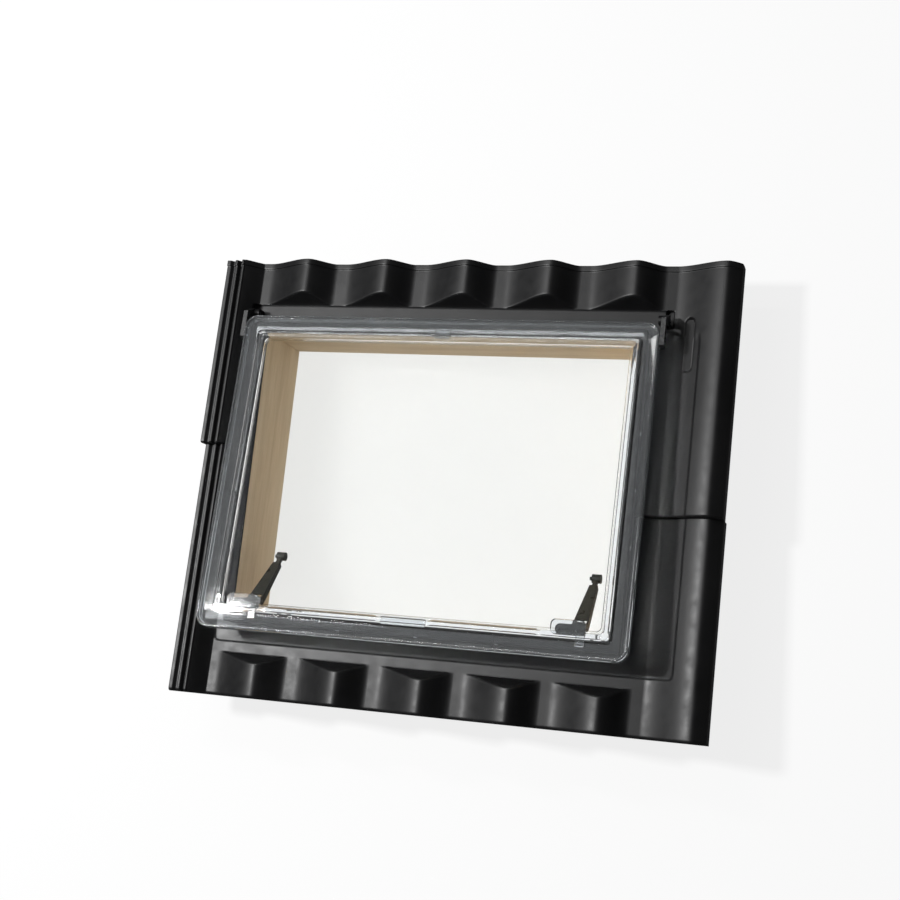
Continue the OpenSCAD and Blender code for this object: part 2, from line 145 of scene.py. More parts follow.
def lines_of(stretches: Iterable[tuple[float, float]], end: float) -> list[float]:
    """Places along an axis, from stretches that each have their own spacing.

    Args:
        stretches: Start and spacing of each stretch, in rising order.
        end: The last place.

    Returns:
        The places in rising order.
    """
    parts = list(stretches)
    ends = [start for start, _ in parts[1:]] + [end]
    lines = [p for (start, step), stop in zip(parts, ends) for p in spread(start, stop, step)]
    return lines + [end]


# ---------------------------------------------------------------- finishes


def mirror_rays(tree: bpy.types.NodeTree) -> bpy.types.NodeSocket:
    """A share that is 1 for rays off a shiny surface and 0 for all others.

    Args:
        tree: The node tree to add it to.

    Returns:
        The share.
    """
    path = tree.nodes.new("ShaderNodeLightPath")
    both = tree.nodes.new("ShaderNodeMath")
    both.operation = "MULTIPLY"
    tree.links.new(path.outputs["Is Glossy Ray"], both.inputs[0])
    tree.links.new(path.outputs["Is Reflection Ray"], both.inputs[1])
    return both.outputs[0]


class Nodes:
    """Builds one node material, with its patterns on Object coordinates."""

    def __init__(self, name: str) -> None:
        """Starts a material that holds one Principled shader.

        Args:
            name: Material name.
        """
        self.material = bpy.data.materials.new(name)
        self.material.use_nodes = True
        self.tree = self.material.node_tree
        self.tree.nodes.clear()
        self.output = self.tree.nodes.new("ShaderNodeOutputMaterial")
        self.shader = self.tree.nodes.new("ShaderNodeBsdfPrincipled")
        self.link(self.shader.outputs[0], self.output.inputs["Surface"])
        self.place = self.tree.nodes.new("ShaderNodeTexCoord").outputs["Object"]

    def link(self, source: bpy.types.NodeSocket, target: bpy.types.NodeSocket) -> None:
        """Joins two sockets."""
        self.tree.links.new(source, target)

    def set(self, **values: float | tuple[float, ...]) -> None:
        """Sets the shader's own sockets; a name's underscores stand for spaces."""
        for name, value in values.items():
            self.shader.inputs[name.replace("_", " ")].default_value = value

    def mapped(self, scale: tuple[float, float, float]) -> bpy.types.NodeSocket:
        """The object's coordinates, stretched.

        Args:
            scale: Factor along each axis.

        Returns:
            The stretched coordinates.
        """
        node = self.tree.nodes.new("ShaderNodeMapping")
        node.inputs["Scale"].default_value = scale
        self.link(self.place, node.inputs["Vector"])
        return node.outputs[0]

    def noise(self, scale: float, detail: float = 2.0, place: bpy.types.NodeSocket | None = None,
              warp: float = 0.0) -> bpy.types.NodeSocket:
        """A noise pattern.

        Args:
            scale: Pattern repeats per metre.
            detail: Octaves.
            place: Coordinates, or None for the object's own.
            warp: Distortion of the pattern.

        Returns:
            The noise value.
        """
        node = self.tree.nodes.new("ShaderNodeTexNoise")
        node.inputs["Scale"].default_value = scale
        node.inputs["Detail"].default_value = detail
        node.inputs["Distortion"].default_value = warp
        self.link(place or self.place, node.inputs["Vector"])
        return node.outputs["Fac"]

    def ramp(self, value: bpy.types.NodeSocket,
             stops: Iterable[tuple[float, tuple[float, float, float]]]) -> bpy.types.NodeSocket:
        """Turns a value into a colour.

        Args:
            value: The value that picks the colour.
            stops: Position and colour of each stop, in order.

        Returns:
            The colour.
        """
        node = self.tree.nodes.new("ShaderNodeValToRGB")
        elements = node.color_ramp.elements
        for i, (position, colour) in enumerate(stops):
            element = elements[i] if i < 2 else elements.new(position)
            element.position = position
            element.color = (*colour, 1)
        self.link(value, node.inputs["Fac"])
        return node.outputs["Color"]

    def between(self, value: bpy.types.NodeSocket, low: float, high: float) -> bpy.types.NodeSocket:
        """Maps a pattern's usual span onto two numbers.

        Args:
            value: The pattern.
            low: Result at 0.3.
            high: Result at 0.7.

        Returns:
            The mapped value.
        """
        node = self.tree.nodes.new("ShaderNodeMapRange")
        node.inputs["From Min"].default_value = 0.3
        node.inputs["From Max"].default_value = 0.7
        node.inputs["To Min"].default_value = low
        node.inputs["To Max"].default_value = high
        self.link(value, node.inputs["Value"])
        return node.outputs["Result"]

    def mix(self, share: float | bpy.types.NodeSocket, a: bpy.types.NodeSocket,
            b: bpy.types.NodeSocket, blend: str = "MIX") -> bpy.types.NodeSocket:
        """Mixes two colours.

        Args:
            share: How much of the second colour.
            a: First colour.
            b: Second colour.
            blend: Blender's name for the way of mixing.

        Returns:
            The mixed colour.
        """
        node = self.tree.nodes.new("ShaderNodeMix")
        node.data_type = "RGBA"
        node.blend_type = blend
        if isinstance(share, bpy.types.NodeSocket):
            self.link(share, node.inputs["Factor"])
        else:
            node.inputs["Factor"].default_value = share
        self.link(a, node.inputs["A"])
        self.link(b, node.inputs["B"])
        return node.outputs["Result"]

    def bump(self, layers: Iterable[tuple[bpy.types.NodeSocket, float, float]]) -> None:
        """Adds relief to the shader.

        Args:
            layers: Height pattern, strength and depth in metres of each layer.
        """
        normal = None
        for height, strength, depth in layers:
            node = self.tree.nodes.new("ShaderNodeBump")
            node.inputs["Strength"].default_value = strength
            node.inputs["Distance"].default_value = depth
            self.link(height, node.inputs["Height"])
            if normal is not None:
                self.link(normal, node.inputs["Normal"])
            normal = node.outputs["Normal"]
        self.link(normal, self.shader.inputs["Normal"])

    def dim_reflections(self, colour: tuple[float, float, float]) -> None:
        """Shows a plain colour, in place of the shader, to what reflects the object.

        Args:
            colour: The plain colour's glow.
        """
        glow = self.tree.nodes.new("ShaderNodeEmission")
        glow.inputs["Color"].default_value = (*colour, 1)
        mixer = self.tree.nodes.new("ShaderNodeMixShader")
        self.link(mirror_rays(self.tree), mixer.inputs[0])
        self.link(self.shader.outputs[0], mixer.inputs[1])
        self.link(glow.outputs[0], mixer.inputs[2])
        self.link(mixer.outputs[0], self.output.inputs["Surface"])

    def let_lamps_through(self, tint: tuple[float, float, float]) -> None:
        """Lets lamp light pass straight through, dimmed by a tint.

        Args:
            tint: Share of each colour that passes.
        """
        path = self.tree.nodes.new("ShaderNodeLightPath")
        clear = self.tree.nodes.new("ShaderNodeBsdfTransparent")
        clear.inputs["Color"].default_value = (*tint, 1)
        mixer = self.tree.nodes.new("ShaderNodeMixShader")
        self.link(path.outputs["Is Shadow Ray"], mixer.inputs[0])
        self.link(self.shader.outputs[0], mixer.inputs[1])
        self.link(clear.outputs[0], mixer.inputs[2])
        self.link(mixer.outputs[0], self.output.inputs["Surface"])


@dataclass(frozen=True)
class MouldedPlastic:
    """Opaque moulded plastic with a fine grain.

    Attributes:
        name: Material name.
        dark: Colour in the grain's low places.
        light: Colour in its high places.
        gloss: Roughness where it is shiniest and dullest.
        shine: Strength of its reflections, 0.5 for plain plastic.
        grain: Grain size in metres.
        depth: Grain depth in metres.
        ripple: Depth of the slow unevenness in metres.
    """

    name: str
    dark: tuple[float, float, float]
    light: tuple[float, float, float]
    gloss: tuple[float, float] = (0.40, 0.50)
    shine: float = 0.45
    grain: float = 0.9 * MM
    depth: float = 0.03 * MM
    ripple: float = 0.2 * MM

    def material(self) -> bpy.types.Material:
        """Builds the node material.

        Returns:
            The material.
        """
        n = Nodes(self.name)
        n.set(Specular_IOR_Level=self.shine)
        grain = n.noise(1 / self.grain, 3)
        cloud = n.noise(9, 4, warp=0.4)
        n.link(n.ramp(cloud, [(0.3, self.dark), (0.7, self.light)]), n.shader.inputs["Base Color"])
        n.link(n.between(n.noise(55, 5), *self.gloss), n.shader.inputs["Roughness"])
        n.bump([(n.noise(14, 2), 1.0, self.ripple), (grain, 1.0, self.depth)])
        return n.material


@dataclass(frozen=True)
class ClearPlastic:
    """Clear moulded plastic.

    Attributes:
        name: Material name.
        colour: Tint of what is seen through it.
        haze: Share of the surface that scatters like milky plastic.
        shade: Share of lamp light that passes.
        index: Refractive index, lower for a surface that mirrors less.
        rough: Roughness where it is shiniest and dullest.
        ripple: Depth of the slow unevenness in metres.
    """

    name: str
    colour: tuple[float, float, float]
    haze: float
    shade: float
    index: float
    rough: tuple[float, float] = (0.01, 0.03)
    ripple: float = 0.02 * MM

    def material(self) -> bpy.types.Material:
        """Builds the node material.

        Returns:
            The material.
        """
        n = Nodes(self.name)
        n.set(Base_Color=(*self.colour, 1), Transmission_Weight=1 - self.haze, IOR=self.index)
        n.link(n.between(n.noise(30, 4), *self.rough), n.shader.inputs["Roughness"])
        n.bump([(n.noise(12, 2, n.mapped((1, 0.6, 1))), 1.0, self.ripple),
                (n.noise(160, 3), 1.0, self.ripple * 0.08)])
        n.let_lamps_through(tuple(self.shade * c for c in self.colour))
        return n.material


@dataclass(frozen=True)
class Plywood:
    """Bare plywood with its face grain along one axis and its plies across another.

    Attributes:
        name: Material name.
        along: Axis of the face grain, 0 for X and 1 for Y.
        plies: Number of plies in the board's thickness.
        thickness: Board thickness.
    """

    name: str
    along: int
    plies: int = 7
    thickness: float = 15 * MM

    def material(self) -> bpy.types.Material:
        """Builds the node material.

        Returns:
            The material.
        """
        n = Nodes(self.name)
        stretch = [26.0, 26.0, 26.0]
        stretch[self.along] = 1.6
        long_grain = n.noise(1, 5, n.mapped(tuple(stretch)), warp=0.9)
        fine = [420.0, 420.0, 420.0]
        fine[self.along] = 14.0
        fibres = n.noise(1, 3, n.mapped(tuple(fine)))
        face = n.ramp(long_grain, [(0.28, (0.58, 0.44, 0.275)), (0.5, (0.68, 0.54, 0.355)),
                                   (0.74, (0.74, 0.605, 0.415))])
        streak = n.ramp(fibres, [(0.25, (0.80, 0.76, 0.70)), (0.62, (1.0, 1.0, 1.0))])
        knots = n.ramp(n.noise(24, 1, warp=0.3), [(0.20, (0.42, 0.30, 0.20)), (0.245, (1.0, 1.0, 1.0))])
        wave = n.tree.nodes.new("ShaderNodeTexWave")
        wave.bands_direction = "Y" if self.along == 0 else "X"
        wave.inputs["Scale"].default_value = self.plies / self.thickness / 20 / 2
        wave.inputs["Distortion"].default_value = 0.15
        n.link(n.place, wave.inputs["Vector"])
        plies = n.ramp(wave.outputs["Fac"], [(0.42, (0.78, 0.72, 0.64)), (0.58, (1.0, 1.0, 1.0))])
        colour = n.mix(1.0, n.mix(0.8, face, streak, "MULTIPLY"), knots, "MULTIPLY")
        n.link(n.mix(0.6, colour, plies, "MULTIPLY"), n.shader.inputs["Base Color"])
        n.link(n.between(fibres, 0.5, 0.68), n.shader.inputs["Roughness"])
        n.bump([(fibres, 1.0, 0.08 * MM), (long_grain, 1.0, 0.1 * MM)])
        return n.material


@dataclass(frozen=True)
class PlatedSteel:
    """Bright zinc-plated steel with fine turning marks.

    Attributes:
        name: Material name.
        colour: Metal colour.
    """

    name: str
    colour: tuple[float, float, float]

    def material(self) -> bpy.types.Material:
        """Builds the node material.

        Returns:
            The material.
        """
        n = Nodes(self.name)
        n.set(Metallic=1.0)
        spots = n.noise(260, 4)
        low = tuple(0.82 * c for c in self.colour)
        n.link(n.ramp(spots, [(0.35, low), (0.65, self.colour)]), n.shader.inputs["Base Color"])
        n.link(n.between(n.noise(900, 3), 0.22, 0.38), n.shader.inputs["Roughness"])
        n.bump([(n.noise(1500, 2), 1.0, 0.01 * MM)])
        return n.material


class Finishes:
    """The object's materials, each made once."""

    def __init__(self) -> None:
        """Builds every material."""
        self.pan = MouldedPlastic("pan_plastic", (0.005, 0.005, 0.0055), (0.009, 0.009, 0.0095)).material()
        self.fitting = MouldedPlastic("fitting_plastic", (0.022, 0.023, 0.021), (0.032, 0.034, 0.030),
                                      gloss=(0.26, 0.36), grain=0.5 * MM, depth=0.012 * MM,
                                      ripple=0.05 * MM).material()
        self.strap = MouldedPlastic("strap_plastic", (0.020, 0.021, 0.022), (0.030, 0.031, 0.032),
                                    gloss=(0.22, 0.32), grain=0.5 * MM, depth=0.012 * MM,
                                    ripple=0.1 * MM).material()
        self.rubber = MouldedPlastic("seal_rubber", (0.012, 0.012, 0.012), (0.02, 0.02, 0.02),
                                     gloss=(0.65, 0.8), grain=0.6 * MM, depth=0.08 * MM).material()
        self.pane = ClearPlastic("clear_pane", (0.965, 0.97, 0.963), 0.0, 0.62, 1.18,
                                 ripple=0.006 * MM).material()
        self.edge = ClearPlastic("clear_edge", (0.90, 0.93, 0.95), 0.05, 0.0, 1.49, rough=(0.03, 0.09),
                                 ripple=0.22 * MM).material()
        self.ply_across = Plywood("plywood_across", 0).material()
        self.ply_along = Plywood("plywood_along", 1).material()
        self.steel = PlatedSteel("plated_steel", (0.66, 0.67, 0.69)).material()


# ---------------------------------------------------------------- mesh helpers


def new_object(name: str, bm: bmesh.types.BMesh, materials: Iterable[bpy.types.Material],
               crease: float = 32.0) -> bpy.types.Object:
    """Turns a bmesh into a scene object with smooth shading and sharp corners.

    Args:
        name: Object name.
        bm: The mesh in millimetres, which is freed.
        materials: Materials in the order of the faces' indices.
        crease: Angle in degrees past which an edge stays sharp.

    Returns:
        The object, at the origin.
    """
    bmesh.ops.scale(bm, vec=(MM, MM, MM), verts=bm.verts)
    mesh = bpy.data.meshes.new(name)
    bm.to_mesh(mesh)
    bm.free()
    for material in materials:
        mesh.materials.append(material)
    mesh.shade_smooth()
    mesh.set_sharp_from_angle(angle=math.radians(crease))
    piece = bpy.data.objects.new(name, mesh)
    bpy.context.scene.collection.objects.link(piece)
    return piece


def seat(piece: bpy.types.Object, body: str, slot: str, *nodes: str) -> None:
    """Lets a piece ride on its body and stand for CAD nodes.

    Args:
        piece: The finished piece.
        body: Name of the CAD body it moves with.
        slot: The record's material slot; not used.
        nodes: CAD nodes that it stands for.
    """
    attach(piece, body)
    if nodes:
        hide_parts(*nodes)
    LOG.info("%s: %d faces on %s", piece.name, len(piece.data.polygons), body)


def bevel(bm: bmesh.types.BMesh, edges: Iterable[bmesh.types.BMEdge], width: float,
          segments: int = 3) -> None:
    """Rounds edges.

    Args:
        bm: The mesh.
        edges: Edges to round.
        width: Offset of the rounding.
        segments: Faces across the rounding.
    """
    bmesh.ops.bevel(bm, geom=list(edges), offset=width, offset_type="OFFSET", segments=segments,
                    profile=0.5, material=-1, affect="EDGES", clamp_overlap=True)


def sharp_edges(bm: bmesh.types.BMesh, angle: float = 30.0) -> list[bmesh.types.BMEdge]:
    """Edges whose faces meet at more than an angle.

    Args:
        bm: The mesh.
        angle: The angle in degrees.

    Returns:
        The edges.
    """
    limit = math.radians(angle)
    return [e for e in bm.edges if len(e.link_faces) == 2 and e.calc_face_angle(0.0) > limit]


def outline(centre: tuple[float, float], width: float, length: float, radius: float,
            counts: tuple[int, int]) -> list[Vector]:
    """Places round a rectangle with rounded corners, anticlockwise from the front left.

    Args:
        centre: Middle of the rectangle.
        width: Size along X.
        length: Size along Y.
        radius: Corner radius.
        counts: Number of places along a side across and along a side up the slope.

    Returns:
        The places, as many for any size.
    """
    places = []
    arc_steps = 8
    for sx, sy, start in ((1, -1, -90), (1, 1, 0), (-1, 1, 90), (-1, -1, 180)):
        along_x = start in (-90, 90)
        run = (width if along_x else length) - 2 * radius
        middle = Vector((centre[0] + sx * (width / 2 - radius), centre[1] + sy * (length / 2 - radius)))
        angle = math.radians(start)
        out = Vector((math.cos(angle), math.sin(angle)))
        heading = Vector((-out.y, out.x))
        count = counts[0] if along_x else counts[1]
        places += [middle + radius * out - heading * run * (1 - i / count) for i in range(count)]
        for i in range(arc_steps):
            angle = math.radians(start + 90 * i / arc_steps)
            places.append(middle + radius * Vector((math.cos(angle), math.sin(angle))))
    return [Vector((p.x, p.y, 0)) for p in places]


def wrap_rings(bm: bmesh.types.BMesh, rings: list[list[Vector]], closed: bool) -> None:
    """Skins a stack of rings with as many places each.

    Args:
        bm: The mesh to add to.
        rings: Places of each ring, in order.
        closed: True to join the last ring to the first, or False to cap both ends.
    """
    first = bmesh.ops.create_circle(bm, segments=len(rings[0]), radius=1.0, cap_ends=False)["verts"]
    last = first
    for vert, place in zip(first, rings[0]):
        vert.co = place
    edges = list({e for v in first for e in v.link_edges})
    for places in rings[1:]:
        made = bmesh.ops.extrude_edge_only(bm, edges=edges)["geom"]
        fresh = {v for v in made if isinstance(v, bmesh.types.BMVert)}
        edges = [e for e in made if isinstance(e, bmesh.types.BMEdge)]
        last = [next(e.other_vert(v) for e in v.link_edges if e.other_vert(v) in fresh) for v in last]
        for vert, place in zip(last, places):
            vert.co = place
    if closed:
        start = set(first)
        start_edges = [e for e in bm.edges if e.verts[0] in start and e.verts[1] in start]
        bmesh.ops.bridge_loops(bm, edges=start_edges + edges)
        return
    for end in (set(first), set(last)):
        rim = [e for e in bm.edges if e.is_boundary and e.verts[0] in end]
        bmesh.ops.contextual_create(bm, geom=rim)


def merged_copy(node: str) -> bmesh.types.BMesh:
    """A CAD node's mesh with its doubles merged and its flat faces joined.

    Args:
        node: Name of the CAD node.

    Returns:
        The mesh.
    """
    bm = bmesh.new()
    bm.from_mesh(frame["nodes"][node].data)
    bmesh.ops.scale(bm, vec=(1 / MM, 1 / MM, 1 / MM), verts=bm.verts)
    bmesh.ops.remove_doubles(bm, verts=bm.verts, dist=0.005)
    bmesh.ops.dissolve_limit(bm, angle_limit=math.radians(0.6), verts=bm.verts, edges=bm.edges,
                             use_dissolve_boundaries=False)
    return bm


def softened_node(node: str, material: bpy.types.Material, width: float) -> bpy.types.Object:
    """A fitting with the CAD node's form and moulded, rounded edges.

    Args:
        node: Name of the CAD node.
        material: Its finish.
        width: Radius of the edges in millimetres.

    Returns:
        The object.
    """
    piece = new_object(node + "_moulded", merged_copy(node), [material])
    rounding = piece.modifiers.new("edges", "BEVEL")
    rounding.width = width * MM
    rounding.segments = 3
    rounding.limit_method = "ANGLE"
    rounding.angle_limit = math.radians(34)
    rounding.miter_outer = "MITER_ARC"
    rounding.harden_normals = True
    return piece


# ---------------------------------------------------------------- sizes shared by the sub-assemblies


@dataclass(frozen=True)
class Opening:
    """The window opening, which the pan, the lining and the lid share.

    Attributes:
        x: Middle of the opening across the roof.
        y: Middle of the opening up the slope.
        clear_w: Clear width between the side boards.
        clear_l: Clear length between the end boards.
        board: Thickness of a board.
        wall_out: From the clear opening to the upstand's outer face.
        lining_h: Height of the boards.
        rim_top: Top of the upstand's rim.
    """

    x: float = -26.0
    y: float = 2.5
    clear_w: float = 666.0
    clear_l: float = 501.0
    board: float = 15.0
    wall_out: float = 19.0
    lining_h: float = 140.0
    rim_top: float = 143.3

    @property
    def upstand_w(self) -> float:
        """Outer width of the upstand."""
        return self.clear_w + 2 * self.wall_out

    @property
    def upstand_l(self) -> float:
        """Outer length of the upstand."""
        return self.clear_l + 2 * self.wall_out

    @property
    def front(self) -> float:
        """Inner face of the front board."""
        return self.y - self.clear_l / 2

    @property
    def rear(self) -> float:
        """Inner face of the rear board."""
        return self.y + self.clear_l / 2

    def wall_distance(self, x: float, y: float) -> float:
        """Distance in plan from the upstand's outer face, negative inside it.

        Args:
            x: Place across the roof.
            y: Place up the slope.

        Returns:
            The distance.
        """
        low = (self.x - self.upstand_w / 2, self.y - self.upstand_l / 2)
        high = (self.x + self.upstand_w / 2, self.y + self.upstand_l / 2)
        return box_distance(x, y, low, high, 5.0)


# ---------------------------------------------------------------- roof pan


@dataclass
class Waves:
    """The tile waves and interlock ribs of one course, as heights over its trough.

    Attributes:
        count: Number of waves.
        last_crest: X of the right-hand crest.
        pitch: Distance between crests.
        flank_left: Width of a crest's left flank.
        flank_right: Width of its right flank.
        height: Height of a crest.
        left: Left edge of the ribs.
        rib_w: Width of a rib.
        rib_pitch: Distance between ribs.
        rib_tops: Heights of the ribs.
        valley: Height between the ribs.
        foot: X where the slope beside the ribs meets the trough.
        end_slope: Rise over run of a short wave's end face.
    """

    count: int = 6
    last_crest: float = 448.0
    pitch: float = 150.0
    flank_left: float = 87.75
    flank_right: float = 42.0
    height: float = 34.0
    left: float = -470.0
    rib_w: float = 11.0
    rib_pitch: float = 15.0
    rib_tops: tuple[float, ...] = (20.0, 23.0, 27.0)
    valley: float = 15.0
    foot: float = -403.0
    end_slope: float = 2.125

    def bump(self, u: float) -> float:
        """Height of a wave at a distance from its crest.

        Args:
            u: Distance to the right of the crest.

        Returns:
            The height over the trough.
        """
        share = abs(u) / (self.flank_left if u < 0 else self.flank_right)
        if share >= 1:
            return 0.0
        straight = 1 - rounded(share, 0.16)
        return self.height * (0.5 * rounded(straight, 0.10) + 0.25 * (1 + math.cos(math.pi * share)))

    def ribs(self, x: float) -> float:
        """Height of the ribs and the slope beside them.

        Args:
            x: Place across the roof.

        Returns:
            The height over the trough.
        """
        u = x - self.left
        slope_top = (len(self.rib_tops) - 1) * self.rib_pitch + self.rib_w - 1.5
        if u > slope_top:
            share = clamp((self.foot - x) / (self.foot - self.left - slope_top))
            return self.rib_tops[-1] * (0.75 * share + 0.25 * smooth(share))
        number, v = divmod(max(u, 0.0), self.rib_pitch)
        edge = self.rib_w - v if number == 0 and v < self.rib_w / 2 else min(v, self.rib_w - v)
        return self.valley + (self.rib_tops[int(number)] - self.valley) * smooth(0.25 + edge / 5.5)

    def line(self, x: float, past_end: float) -> float:
        """Height of a course over its trough.

        Args:
            x: Place across the roof.
            past_end: How far the place lies beyond the foot of the short waves' end faces.

        Returns:
            The height.
        """
        if x < self.foot:
            return self.ribs(x)
        whole = self.bump(x - self.last_crest)
        short = max(self.bump(x - self.last_crest + self.pitch * k) for k in range(1, self.count))
        return max(whole, soft_min(short, max(past_end, 0.0) * self.end_slope, 5.0))


@dataclass
class RoofPan:
    """The black moulded pan: two tile courses, ribs, a shallow tray, recesses and the upstand.

    Attributes:
        opening: The window opening.
        waves: The wave profile.
        width: Size across the roof.
        length: Size up the slope.
        wall: Wall thickness.
        fall: Rise of a course per unit of its length.
        upper_z: Trough height of the upper course at Y = 0.
        lower_z: Trough height of the lower course at Y = 0.
        step_y: Where the upper course ends.
        rib_step_y: Where the upper course's ribs end.
        top_foot: Foot of the end faces of the upper short waves.
        bottom_foot: Foot of the end faces of the lower short waves.
        lip_h: Height of the lip along the top edge.
        lip_w: Width of that lip.
        nose_drop: Depth of the turned-down nose.
        edge_drop: Depth of the side edges below the trough.
        shelf: Low and high corner of the low shelf above the lid.
        shelf_h: Its height.
        tray: Low and high corner of the shallow tray.
        tray_depth: Its depth.
        slot: Low and high corner of the recess in the right gutter.
        slot_z: Height of its floor over the trough.
        wells: X of the two hinge wells.
        well_w: Width of a well.
        well_y: Lower and upper end of a well.
        well_depth: Depth of a well.
        valley_w: Width of the valley beside the ribs, which steps with them.
    """

    opening: Opening
    waves: Waves = field(default_factory=Waves)
    width: float = 940.0
    length: float = 784.0
    wall: float = 3.5
    fall: float = 0.04662
    upper_z: float = 116.2
    lower_z: float = 101.27
    step_y: float = -37.0
    rib_step_y: float = 49.0
    top_foot: float = 314.4
    bottom_foot: float = -316.0
    lip_h: float = 2.5
    lip_w: float = 10.0
    nose_drop: float = 18.0
    edge_drop: float = 10.0
    shelf: tuple[tuple[float, float], tuple[float, float]] = ((-398.0, 250.0), (346.0, 312.9))
    shelf_h: float = 1.2
    tray: tuple[tuple[float, float], tuple[float, float]] = ((-402.0, -297.0), (409.0, 268.0))
    tray_depth: float = 1.6
    slot: tuple[tuple[float, float], tuple[float, float]] = ((380.0, 207.3), (398.0, 299.3))
    slot_z: float = 4.5
    wells: tuple[float, float] = (-404.85, 352.85)
    well_w: float = 11.7
    well_y: tuple[float, float] = (281.0, 314.0)
    well_depth: float = 8.0
    valley_w: float = 14.4

    def step(self, x: float) -> float:
        """Place up the slope where the upper course ends."""
        return self.rib_step_y if x < self.waves.foot - self.valley_w else self.step_y

    def is_upper(self, x: float, y: float) -> bool:
        """Tells whether a place belongs to the upper course."""
        return y >= self.step(x)

    def trough(self, x: float, y: float) -> float:
        """Height of the trough of the course at a place."""
        return (self.upper_z if self.is_upper(x, y) else self.lower_z) - y * self.fall

    def round_over(self, distance: float, radius: float) -> float:
        """How far a surface falls at a distance from an edge with a rounded top.

        Args:
            distance: How far in from the edge a place is.
            radius: Radius of the rounded edge.

        Returns:
            The fall.
        """
        if distance >= radius:
            return 0.0
        return radius - math.sqrt(max(radius ** 2 - (radius - max(distance, 0.0)) ** 2, 0.0))

    def height(self, x: float, y: float) -> float:
        """Height of the pan's top surface.

        Args:
            x: Place across the roof.
            y: Place up the slope.

        Returns:
            The height over the lining's foot.
        """
        upper = self.is_upper(x, y)
        z = self.trough(x, y)
        z += self.waves.line(x, y - self.top_foot if upper else self.bottom_foot - y)
        if upper:
            step = self.step(x)
            z -= self.round_over(y - step, 5.0 if step == self.step_y else 3.0)
            z += self.lip_h * smooth((y - self.length / 2 + self.lip_w) / 1.2 + 0.5)
            z += self.shelf_h * smooth(0.5 - box_distance(x, y, *self.shelf, 2.0) / 1.6)
        z -= self.tray_depth * smooth(0.5 - box_distance(x, y, *self.tray, 9.0) / 3.0)
        into_slot = smooth(0.5 - box_distance(x, y, *self.slot, 9.0) / 2.2)
        z += (min(z, self.trough(x, y) + self.slot_z) - z) * into_slot
        for well in self.wells:
            low, high = (well - self.well_w / 2, self.well_y[0]), (well + self.well_w / 2, self.well_y[1])
            z -= self.well_depth * smooth(0.5 - box_distance(x, y, low, high, 2.0) / 1.6)
        z += self.round_over(self.opening.wall_distance(x, y), 4.0)
        z -= self.round_over(self.width / 2 - x, 3.0) + self.round_over(self.width / 2 + x, 2.0)
        z -= self.round_over(self.length / 2 + y, 6.0) + self.round_over(self.length / 2 - y, 1.2)
        return z

    def grid_lines(self) -> tuple[list[float], list[float]]:
        """Places of the sheet's lines, close together where the form turns.

        Returns:
            The places across the roof and the places up the slope.
        """
        o = self.opening
        x0, x1 = o.x - o.upstand_w / 2, o.x + o.upstand_w / 2
        y0, y1 = o.y - o.upstand_l / 2, o.y + o.upstand_l / 2
        across = lines_of([(-470.0, 0.5), (-468.0, 1.1), (-428.0, 2.2), (-412.0, 1.2), (-397.0, 4.0),
                           (x0 - 4.2, 1.4), (x0, 2.0), (x0 + 2, 5.0), (x1 - 2, 2.0), (x1, 1.4),
                           (x1 + 4.2, 4.0), (344.0, 1.5), (362.0, 3.5), (377.0, 1.5), (412.0, 3.0),
                           (466.0, 1.0)], 470.0)
        up = lines_of([(-392.0, 0.6), (-390.8, 1.1), (-385.0, 6.0), (-336.0, 1.7), (-313.0, 4.0),
                       (-301.0, 1.5), (-293.0, 6.0), (y0 - 4.2, 1.4), (y0, 2.0), (y0 + 2, 8.0),
                       (self.step_y - 0.2, 0.2),
                       (self.step_y, 0.8), (self.step_y + 5, 6.0), (self.rib_step_y - 0.2, 0.2),
                       (self.rib_step_y, 0.8), (self.rib_step_y + 3, 8.0), (203.0, 2.0), (219.0, 6.0),
                       (y1 - 2, 2.0), (y1, 1.4), (y1 + 4.2, 2.4), (279.0, 1.5), (283.0, 3.0), (292.0, 1.8),
                       (301.0, 2.6), (312.0, 1.0), (318.0, 1.7), (334.0, 6.0), (380.0, 0.8), (384.0, 3.0),
                       (390.5, 0.5)], 392.0)
        return across, up

    def inset(self, x: float, y: float) -> float:
        """How far the lower course's ribs stand in from the pan's left edge."""
        return 0.0 if y >= self.rib_step_y else 4.0 * clamp((self.waves.foot - x) / 27.5)

    def sheet(self) -> bmesh.types.BMesh:
        """Makes the pan's top surface with its edges turned down.

        Returns:
            The mesh, without its thickness.
        """
        across, up = self.grid_lines()
        bm = bmesh.new()
        columns, rows = len(across) - 1, len(up) - 1
        for v in bmesh.ops.create_grid(bm, x_segments=columns, y_segments=rows, size=1.0)["verts"]:
            x = across[round((v.co.x + 1) / 2 * columns)]
            y = up[round((v.co.y + 1) / 2 * rows)]
            v.co = (x + self.inset(x, y), y, self.height(x, y))
        o = self.opening
        hole = [f for f in bm.faces if o.wall_distance(*f.calc_center_median().xy) < -2.01]
        bmesh.ops.delete(bm, geom=hole, context="FACES")
        self.turn_down(bm)
        return bm

    def turn_down(self, bm: bmesh.types.BMesh) -> None:
        """Draws the sheet's outer edges down into the hems and the nose.

        Args:
            bm: The sheet.
        """
        reach = self.opening.wall_distance
        border = [e for e in bm.edges
                  if e.is_boundary and reach(*((e.verts[0].co + e.verts[1].co) / 2).xy) > 0]
        made = bmesh.ops.extrude_edge_only(bm, edges=border)["geom"]
        for v in (g for g in made if isinstance(g, bmesh.types.BMVert)):
            x, y, z = v.co
            if y < 1.0 - self.length / 2 and abs(x) < self.width / 2 - 4.2:
                v.co.z = z + 6.0 - self.nose_drop
            elif y > self.length / 2 - 1.0:
                v.co.z = self.trough(x, y) - self.wall
            else:
                v.co.z = self.trough(x, y) - self.edge_drop

